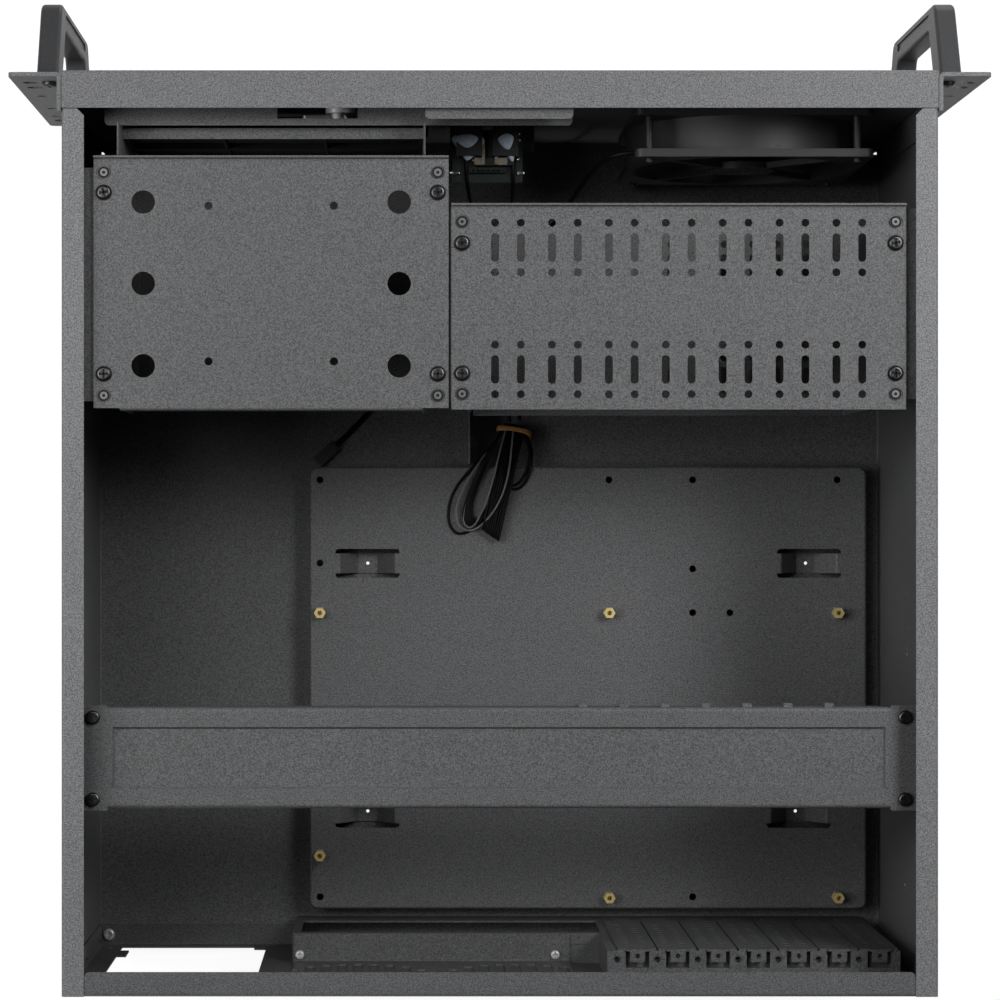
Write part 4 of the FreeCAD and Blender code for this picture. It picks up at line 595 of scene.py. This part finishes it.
def ring(shape, middle, inner, outer, thick, turned=Matrix.Identity(3), steps=32):
    """Adds a thin flat ring, sizes in millimetres, that lies level unless it is turned."""
    levels = [(inner, 0), (inner, thick), (outer, thick), (outer, 0)]
    rows = []
    for i in range(steps):
        turn = 2 * math.pi * i / steps
        rows.append([
            shape.verts.new(middle + turned @ Vector((math.cos(turn) * r, math.sin(turn) * r, z))
                            * MM)
            for r, z in levels
        ])
    for i in range(steps):
        first, second = rows[i], rows[(i + 1) % steps]
        for k in range(4):
            shape.faces.new((first[k], first[(k + 1) % 4], second[(k + 1) % 4], second[k]))


def solids_of(node):
    """The low and high corners of each separate solid in a node's mesh."""
    above = {}

    def top_of(key):
        while above.setdefault(key, key) != key:
            key = above[key]
        return key

    corners = [tuple(round(c, 6) for c in node.matrix_world @ v.co) for v in node.data.vertices]
    for face in node.data.polygons:
        for index in face.vertices:
            above[top_of(corners[index])] = top_of(corners[face.vertices[0]])
    groups = {}
    for corner in corners:
        groups.setdefault(top_of(corner), []).append(corner)
    return [([min(c[k] for c in group) for k in range(3)],
             [max(c[k] for c in group) for k in range(3)]) for group in groups.values()]


def top_middles(name):
    """The middle of the top of each solid in a CAD node, with half its width in millimetres."""
    return [(Vector(((low[0] + high[0]) / 2, (low[1] + high[1]) / 2, high[2])),
             (high[0] - low[0]) / 2 / MM) for low, high in solids_of(frame["nodes"][name])]


# The cage lids' screws, in millimetres
PAN_HEAD = 2.0
MARK_THICK = 0.05
SOCKET_R = 0.75
RIM_R = 1.85
# Outer radius of the ring of painted shade round each ring screw.
SHADE_RING_R = 2.8
CROSS_HALF = 0.48


def cage_screw_shade_marks():
    """Painted shade round the cage lids' screws and in the ring screws' sockets, a painted highlight
    on the ring screws' rims, and dark crosses of painted shade in the pan heads.
    """
    def shade_rings(shape):
        for middle, _ in top_middles("cage_ring_screws"):
            # Painted shadow round each ring screw, and painted shade in its socket.
            ring(shape, middle, RIM_R + 0.05, SHADE_RING_R, MARK_THICK)
            ring(shape, middle, 0.05, SOCKET_R, MARK_THICK)

    def rim_highlights(shape):
        for middle, _ in top_middles("cage_ring_screws"):
            # A lighter ring on each ring screw's rim: painted highlight.
            ring(shape, middle, SOCKET_R + 0.05, RIM_R, MARK_THICK)

    def crosses(shape):
        for middle, half in top_middles("cage_pan_screws"):
            lid = middle - Vector((0, 0, PAN_HEAD * MM))
            # Painted shadow on the lid round each pan head.
            ring(shape, lid, half - 0.1, half + 0.5, MARK_THICK)
            # Dark crosses of painted shade in the pan heads' recesses.
            turn = math.radians(45) + 9 * middle.x + 13 * middle.y
            for quarter in (0, math.pi / 2):
                reach = Vector((half * 0.66, CROSS_HALF, 0.03)) * MM
                bevelled_box(shape, middle - reach, middle + reach, 0.02 * MM, turn + quarter)

    mesh_piece("ring_screw_shade_rings", shade_rings, SHADE_BLACK, "case", smooth=False)
    mesh_piece("ring_screw_rim_highlights", rim_highlights, RIM_HIGHLIGHT_STEEL, "case", smooth=False)
    mesh_piece("pan_screw_shade_crosses", crosses, SHADE_BLACK, "case", smooth=False)


LABEL_R = 16.6
LABEL_THICK = 0.12
LABEL_LINES = ((15.4, 15.9), (8.0, 8.4))


def fan_label():
    """A plain label disc with thin rings on the back of the fan's hub."""
    low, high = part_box("fan_frame")
    middle = Vector(((low[0] + high[0]) / 2, high[1], (low[2] + high[2]) / 2))
    upright = Matrix.Rotation(-math.pi / 2, 3, "X")
    mesh_piece("hub_label", lambda s: ring(s, middle, 0.4, LABEL_R, LABEL_THICK, upright, 96), LABEL,
               "case", smooth=False)

    def lines(shape):
        for inner, outer in LABEL_LINES:
            ring(shape, middle, inner, outer, LABEL_THICK + 0.04, upright, 96)

    mesh_piece("hub_label_rings", lines, LABEL_LINE, "case", smooth=False)


# Stage

FLOOR_HALF = 6.0
FLOOR_DROP = 0.0005
FLOOR_TONE = 0.86
GLOW = 1.15
GLOW_SHARE = 0.8


def backdrop():
    """A pale floor that takes shadows, and that glows a little to the camera alone."""
    floor = bpy.data.meshes.new("floor")
    corners = [(x * FLOOR_HALF, y * FLOOR_HALF, 0) for x, y in ((-1, -1), (1, -1), (1, 1), (-1, 1))]
    floor.from_pydata(corners, [], [(0, 1, 2, 3)])
    piece = bpy.data.objects.new("floor", floor)
    piece.location.z = -FLOOR_DROP
    bpy.context.collection.objects.link(piece)
    material = bpy.data.materials.new("pale_floor")
    material.use_nodes = True
    nodes = material.node_tree.nodes
    links = material.node_tree.links
    shader = nodes["Principled BSDF"]
    shader.inputs["Base Color"].default_value = (*grey(FLOOR_TONE), 1)
    shader.inputs["Roughness"].default_value = 0.9
    glow = nodes.new("ShaderNodeEmission")
    glow.inputs["Strength"].default_value = GLOW
    glow.inputs["Color"].default_value = (1, 1, 1, 1)
    rays = nodes.new("ShaderNodeLightPath")
    share = nodes.new("ShaderNodeMath")
    share.operation = "MULTIPLY"
    share.inputs[1].default_value = GLOW_SHARE
    links.new(rays.outputs["Is Camera Ray"], share.inputs[0])
    mixed = nodes.new("ShaderNodeMixShader")
    links.new(share.outputs[0], mixed.inputs[0])
    links.new(shader.outputs[0], mixed.inputs[1])
    links.new(glow.outputs[0], mixed.inputs[2])
    links.new(mixed.outputs[0], nodes["Material Output"].inputs["Surface"])
    floor.materials.append(material)


def area_light(name, place, target, size, power):
    """A soft lamp that faces a place."""
    lamp = bpy.data.lights.new(name, "AREA")
    lamp.shape = "RECTANGLE"
    lamp.size, lamp.size_y = size
    lamp.energy = power
    piece = bpy.data.objects.new(name, lamp)
    piece.location = place
    piece.rotation_euler = (Vector(target) - Vector(place)).to_track_quat("-Z", "Y").to_euler()
    bpy.context.collection.objects.link(piece)


# Name, place in metres, side in metres and power in watts; left and right as seen from the front
LAMPS = (
    ("front_right_high", (0.60, -0.42, 1.50), 0.65, 4.64),
    ("left_key", (-0.85, -0.45, 1.35), 0.45, 8.1),
    ("right_low", (0.60, -0.08, 0.60), 0.35, 0.67),
    ("left_low", (-0.60, -0.16, 0.60), 0.35, 0.24),
    ("left_front_low", (-0.60, -0.62, 0.80), 0.35, 3.1),
    ("right_fill", (1.30, 0.0, 1.20), 1.0, 8.03),
    ("rear_level", (0.30, 1.50, 0.10), 0.18, 3.0),
    ("front_level", (-0.30, -1.60, 0.10), 0.18, 3.0),
)
AMBIENT = 0.006


def lights():
    """Soft square lamps: name, place, side and power."""
    for name, place, side, power in LAMPS:
        area_light(name, place, (0, 0, 0.1), (side, side), power)
    world = bpy.data.worlds.new("studio")
    bpy.context.scene.world = world
    world.use_nodes = True
    nodes = world.node_tree.nodes
    links = world.node_tree.links
    sky = nodes["Background"]
    sky.inputs["Color"].default_value = (1, 1, 1, 1)
    sky.inputs["Strength"].default_value = AMBIENT
    plain = nodes.new("ShaderNodeBackground")
    plain.inputs["Strength"].default_value = 1.0
    rays = nodes.new("ShaderNodeLightPath")
    mixed = nodes.new("ShaderNodeMixShader")
    links.new(rays.outputs["Is Camera Ray"], mixed.inputs[0])
    links.new(sky.outputs[0], mixed.inputs[1])
    links.new(plain.outputs[0], mixed.inputs[2])
    links.new(mixed.outputs[0], nodes["World Output"].inputs["Surface"])


# The camera: sensor in millimetres, focal length and shift in widths of it, place in metres
SENSOR = 36.0
FOCAL = 2.93
SHIFT = (0.1, 0.032)
CAMERA_PLACE = (0.049, -0.0007, CASE_TOP + 1.436)


def camera():
    """Looks straight down on the open top, with the front at the picture's top."""
    lens = bpy.data.cameras.new("camera")
    lens.sensor_width = SENSOR
    lens.lens = SENSOR * FOCAL
    lens.shift_x, lens.shift_y = SHIFT
    lens.clip_start, lens.clip_end = 0.05, 50
    piece = bpy.data.objects.new("camera", lens)
    axes = Matrix((Vector((-1, 0, 0)), Vector((0, -1, 0)), Vector((0, 0, 1)))).transposed()
    piece.matrix_world = Matrix.Translation(CAMERA_PLACE) @ axes.to_4x4()
    bpy.context.collection.objects.link(piece)
    bpy.context.scene.camera = piece


def leads():
    """Every lead that shows, and the band round the hank."""
    lead("fan_wire", FAN_LEAD, FAN_LEAD_R, replaces=("fan_lead",))
    lead("panel_wire_a", PANEL_LEAD_A, PANEL_LEAD_R, replaces=("panel_lead_a",))
    lead("panel_wire_b", PANEL_LEAD_B, PANEL_LEAD_R, replaces=("panel_lead_b",))
    lead_hank()
    rubber_band()


camera()
leads()
finish_cad_nodes()
board_details()
cage_screw_shade_marks()
fan_label()
backdrop()
lights()
bpy.context.scene.view_settings.view_transform = "Standard"
